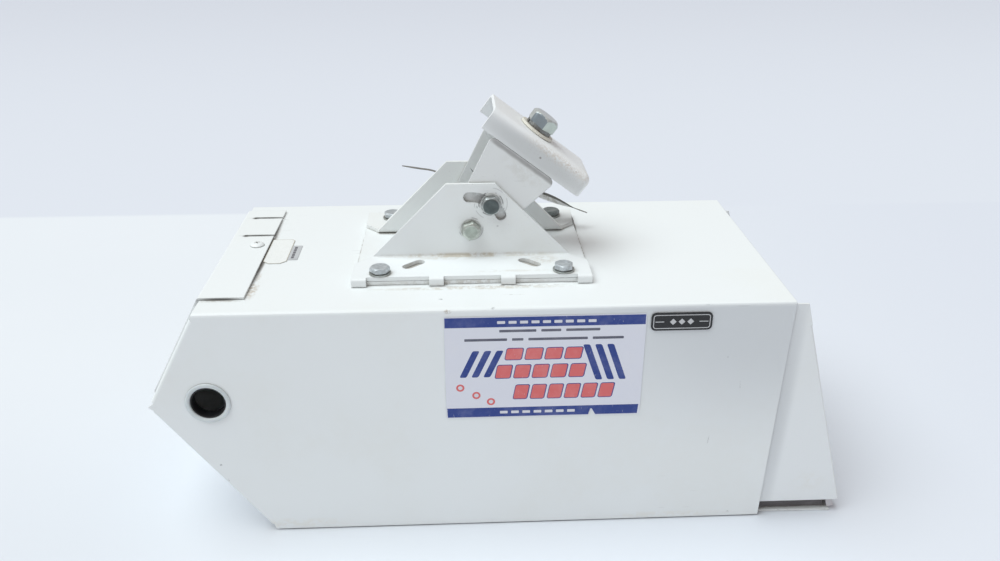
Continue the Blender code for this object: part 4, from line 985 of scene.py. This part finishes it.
def label_art():
    """Printed side label: two blue bands and a plain pattern of bars, with no lettering."""
    low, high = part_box("side_label")
    origin = Vector((low.x, high.y, low.z))
    width, height = high.x - low.x, high.z - low.z
    along, up = (1, 0, 0), (0, 0, 1)
    film = high.y - low.y
    film_material = print_ink("label_film_white", (0.775, 0.795, 0.88), 0.1, 0.3)
    nick = [(0.104, 0), (0.1055, 0.0052), (0.1088, 0)]
    outline = [(0, 0.0008), (0.0006, 0), *nick, (width - 0.0012, 0), (width - 0.0004, 0.001),
               (width, height - 0.0008), (width - 0.0008, height), (0.0006, height),
               (0, height - 0.0006)]
    bm = bmesh.new()
    plate_of(bm, outline, film * 0.8, along, up, origin)
    add("label_sheet", bm, film_material, "housing", 30, ("side_label",))

    def layer(name, shapes, colour, level):
        made = bmesh.new()
        spot = origin - Vector((0, film * level, 0))
        for shape in shapes:
            plate_of(made, shape, film * 0.08, along, up, spot)
        add(name, made, print_ink(name + "_ink", colour), "housing", 30, ())

    def ring(u, v, radius):
        return [(u + point.x, v + point.y) for point in circle(radius, 0, 24)]

    band, edge, bar = 0.0084, 0.0006, 0.005
    emblems = ((0.0105, 0.0255), (0.022, 0.019), (0.0325, 0.0135))
    blue = [[(0.0004, height - band), (width - edge, height - band),
             (width - edge, height - edge), (0.0004, height - edge)],
            [(0.001, edge), (0.1037, edge), (0.1052, 0.0056), (0.1062, 0.0056), (0.109, edge),
             (width - 0.0022, edge), (width - 0.0016, band), (edge, band)]]
    for k in range(3):
        for start, low_end, high_end, slant in ((0.01, 0.034, 0.0555, 0.45),
                                                (0.108, 0.03, 0.059, -0.35)):
            u = start + 0.0085 * k
            blue.append(rounded(u, low_end, u + bar, high_end, 0.0012, 3, slant))
    rows = ((0.042, 0.0985, 0.0475, 0.0575, 4), (0.035, 0.101, 0.0325, 0.044, 5),
            (0.048, 0.122, 0.015, 0.0275, 6))
    red = []
    for u0, u1, v0, v1, count in rows:
        step = (u1 - u0) / count
        for k in range(count):
            a, b = u0 + k * step, u0 + (k + 1) * step - 0.0016
            blue.append(rounded(a, v0, b, v1, 0.0016, 3, 0.18))
            red.append(rounded(a + edge, v0 + edge, b - edge, v1 - edge, 0.0012, 3, 0.18))
    red += [ring(u, v, 0.003) for u, v in emblems]
    white = []
    for v, u0, count, step in ((height - 0.0058, 0.037, 9, 0.008), (0.0032, 0.039, 7, 0.0082)):
        for k in range(count):
            white.append(rounded(u0 + k * step, v, u0 + k * step + 0.0056, v + 0.0022, 0.0004, 2))
    white += [ring(u, v, 0.0016) for u, v in emblems]
    grey = []
    for v, u0, lengths in ((0.07, 0.0385, (0.026, 0.014, 0.024)),
                           (0.0632, 0.014, (0.03, 0.008, 0.042, 0.022))):
        for length in lengths:
            grey.append(rounded(u0, v, u0 + length, v + 0.002, 0.0004, 2))
            u0 += length + 0.0035
    layer("label_blue", blue, (0.014, 0.044, 0.255), 0.8)
    layer("label_red", red, (0.74, 0.15, 0.15), 0.89)
    layer("label_grey", grey, (0.11, 0.115, 0.16), 0.8)
    layer("label_white", white, (0.72, 0.73, 0.8), 0.94)


def badge():
    """Silver outline and rules on the black plate, with no lettering."""
    low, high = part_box("name_plate")
    along, up = (1, 0, 0), (0, 0, 1)
    width, height = high.x - low.x, high.z - low.z
    origin = Vector((low.x, low.y + 0.00001, low.z))
    silver = moulded("silver_print", (0.62, 0.63, 0.65), 0.3, corner_darkening=0)
    bm = bmesh.new()
    inset, line, size, film = 0.0014, 0.0006, 0.0024, 0.00009
    frame_outline(bm, rounded(inset, inset, width - inset, height - inset, 0.0022),
                  rounded(inset + line, inset + line, width - inset - line,
                          height - inset - line, 0.0016), film, along, up, origin)
    centre = height / 2
    for u0, u1 in ((0.0028, 0.0092), (width - 0.0092, width - 0.0028)):
        plate_of(bm, rounded(u0, centre - line / 2, u1, centre + line / 2, 0.0002, 2), film, along,
                 up, origin)
    for k in range(3):
        u = width / 2 + (k - 1) * 0.0062
        plate_of(bm, [(u - size, centre), (u, centre - size), (u + size, centre),
                      (u, centre + size)], film, along, up, origin)
    add("badge_outline", bm, silver, "housing", 30, ())


def paper_label():
    """Old label with cut corners; its glue has browned in a line along the rim."""
    low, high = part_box("floor_label")
    x0, x1, y0, y1 = low.x, high.x - 0.0035, low.y, high.y
    cut = 0.0045

    def outline(inset):
        a, b, c, d = x0 + inset, x1 - inset, y0 + inset, y1 - inset
        k = cut - inset * 0.4
        return [(a + k, c), (b - k, c), (b, c + k), (b, d - k * 0.5), (b - k * 0.5, d), (a, d),
                (a, d - k * 0.3), (a, c + k)]

    film = high.z - low.z
    bm = bmesh.new()
    plate_of(bm, outline(0), film * 0.8, (1, 0, 0), (0, 1, 0), (0, 0, low.z))
    add("paper_label", bm, old_paper("old_paper", (0.85, 0.872, 0.862), 0.35), "housing", 30,
        ("floor_label",))
    bm = bmesh.new()
    frame_outline(bm, outline(0), outline(0.0005), film * 0.1, (1, 0, 0), (0, 1, 0),
                  (0, 0, low.z + film * 0.82))
    add("paper_label_rim", bm, old_paper("browned_glue", (0.52, 0.485, 0.405), 0.8), "housing",
        30, ())


def data_plate():
    """Small silver label with a dark strip beside the old paper one."""
    z = FLOOR + 0.0001
    a, b = REAR + 0.0488, REAR + 0.0578
    y0, y1 = MIDDLE - 0.0165, MIDDLE + 0.0125
    bm = bmesh.new()
    plate_of(bm, rounded(a, y0, b, y1, 0.0006, 3), 0.00018, (1, 0, 0), (0, 1, 0), (0, 0, z))
    add("data_label", bm, moulded("silver_film", (0.56, 0.58, 0.6), 0.34), "housing")
    bm = bmesh.new()
    for k in range(5):
        v = y0 + 0.003 + k * 0.0048
        plate_of(bm, rounded(a + 0.0034, v, a + 0.0056, v + 0.004, 0.0003, 2), 0.00005, (1, 0, 0),
                 (0, 1, 0), (0, 0, z + 0.00018))
    add("data_label_strip", bm, print_ink("dark_strip_ink", (0.14, 0.14, 0.16), 0.1), "housing")


def tie_coating(y):
    """Dark plastic coat; the flared tail below its upper edge is a pale cream, brighter than the
    white paint, as painted light where the head shades it.
    """
    r = Recipe("tie_coating")
    cloud = r.noise(260, 4, 0.65)
    dark = r.blend(r.span(cloud, 0.35, 0.7), (0.2, 0.195, 0.18), (0.15, 0.145, 0.135))
    # The pale tail colour is brighter than the white paint: painted light where the head shades
    # the tail.
    pale = r.blend(r.span(cloud, 0.46, 0.68), (0.94, 0.955, 0.96), (0.64, 0.63, 0.6))
    pale = r.blend(r.span(r.noise(1200, 2), 0.6, 0.68, 0, 0.6), pale, (0.2, 0.18, 0.16))
    tail = r.near((PIVOT.x + 0.067, y, PIVOT.z - 0.0085), (0.034, 0.02, 0.0074), 0.1,
                  -radians(25))
    r.relief([(r.noise(700, 3), 0.00005, 0.4)], 0.0003)
    return r.finish(r.blend(tail, dark, pale), r.span(cloud, 0.3, 0.7, 0.5, 0.62))


def tie():
    """Flat tie looped round the pivot bolt's end. route is (x, z, twist), in mm and degrees."""
    low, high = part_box("tie_wire")
    y = (low.y + high.y) / 2
    route = [(-54.5, 28, 8), (-48, 26.8, 8), (-40, 25.4, 9), (-30, 23.6, 10), (-20, 19.2, 12),
             (-13, 12.8, 20), (-6.2, 7, 40), (0, 5.4, 85), (4, 3.6, 90), (5.4, 0, 90),
             (3.8, -3.8, 90), (0, -5.4, 90), (-3.8, -3.8, 90), (-5.4, 0, 90), (-4, 4.6, 88),
             (2, 7.8, 70), (12, 8.6, 40), (24, 9, 20), (36, 8.4, 12), (48, 6.6, 25),
             (57, 4.2, 60), (64, 1.2, 72), (71, -2.2, 72), (78, -5.8, 60), (85, -9.2, 36),
             (92, -12.4, 20), (98.5, -15.2, 14)]
    route = [Vector((x * MM, z * MM, twist)) for x, z, twist in route]
    smooth = []
    steps = 4
    for k in range(len(route) - 1):
        p = [route[max(0, min(len(route) - 1, k + j))] for j in (-1, 0, 1, 2)]
        for step in range(steps):
            t = step / steps
            smooth.append(0.5 * (2 * p[1] + (p[2] - p[0]) * t
                                 + (2 * p[0] - 5 * p[1] + 4 * p[2] - p[3]) * t * t
                                 + (3 * p[1] - p[0] - 3 * p[2] + p[3]) * t ** 3))
    smooth.append(route[-1])
    bm = bmesh.new()
    rings = []
    half, thick = 0.0016, 0.00032
    for k, here in enumerate(smooth):
        before, after = smooth[max(0, k - 1)], smooth[min(len(smooth) - 1, k + 1)]
        way = Vector((after.x - before.x, 0, after.y - before.y)).normalized()
        side = Vector((0, 1, 0))
        rise = way.cross(side).normalized() * -1
        twist = radians(here.z - 12)
        wide = side * cos(twist) + rise * sin(twist)
        deep = rise * cos(twist) - side * sin(twist)
        share = min(1, 0.35 + min(k, len(smooth) - 1 - k) * 0.12)
        flare = max(0, min(1, (here.x - 0.046) / 0.008, (0.104 - here.x) / 0.046))
        share *= 1 + 1.7 * flare
        shift = 0.0009 * (k / len(smooth) - 0.5)
        spot = Vector((PIVOT.x + here.x, y + shift, PIVOT.z + here.y - 0.0022 * flare))
        corners = []
        for a, b in ((-1, -0.45), (-0.75, -0.8), (0, -1), (0.75, -0.8), (1, -0.45), (1, 0.45),
                     (0.75, 0.8), (0, 1), (-0.75, 0.8), (-1, 0.45)):
            corners.append(spot + wide * (a * half * share) + deep * (b * thick))
        rings.append(corners)
    loft(bm, rings)
    add("flat_tie", bm, tie_coating(y), "housing", 50, ("tie_wire",))


# ---- build

camera()
studio()
floor()
finish_housing()
finish_base()
finish_head()
finish_fittings()
upright_bolts()
tilt_bolts()
swivel_bolts()
bushing()
label_art()
badge()
paper_label()
data_plate()
tie()
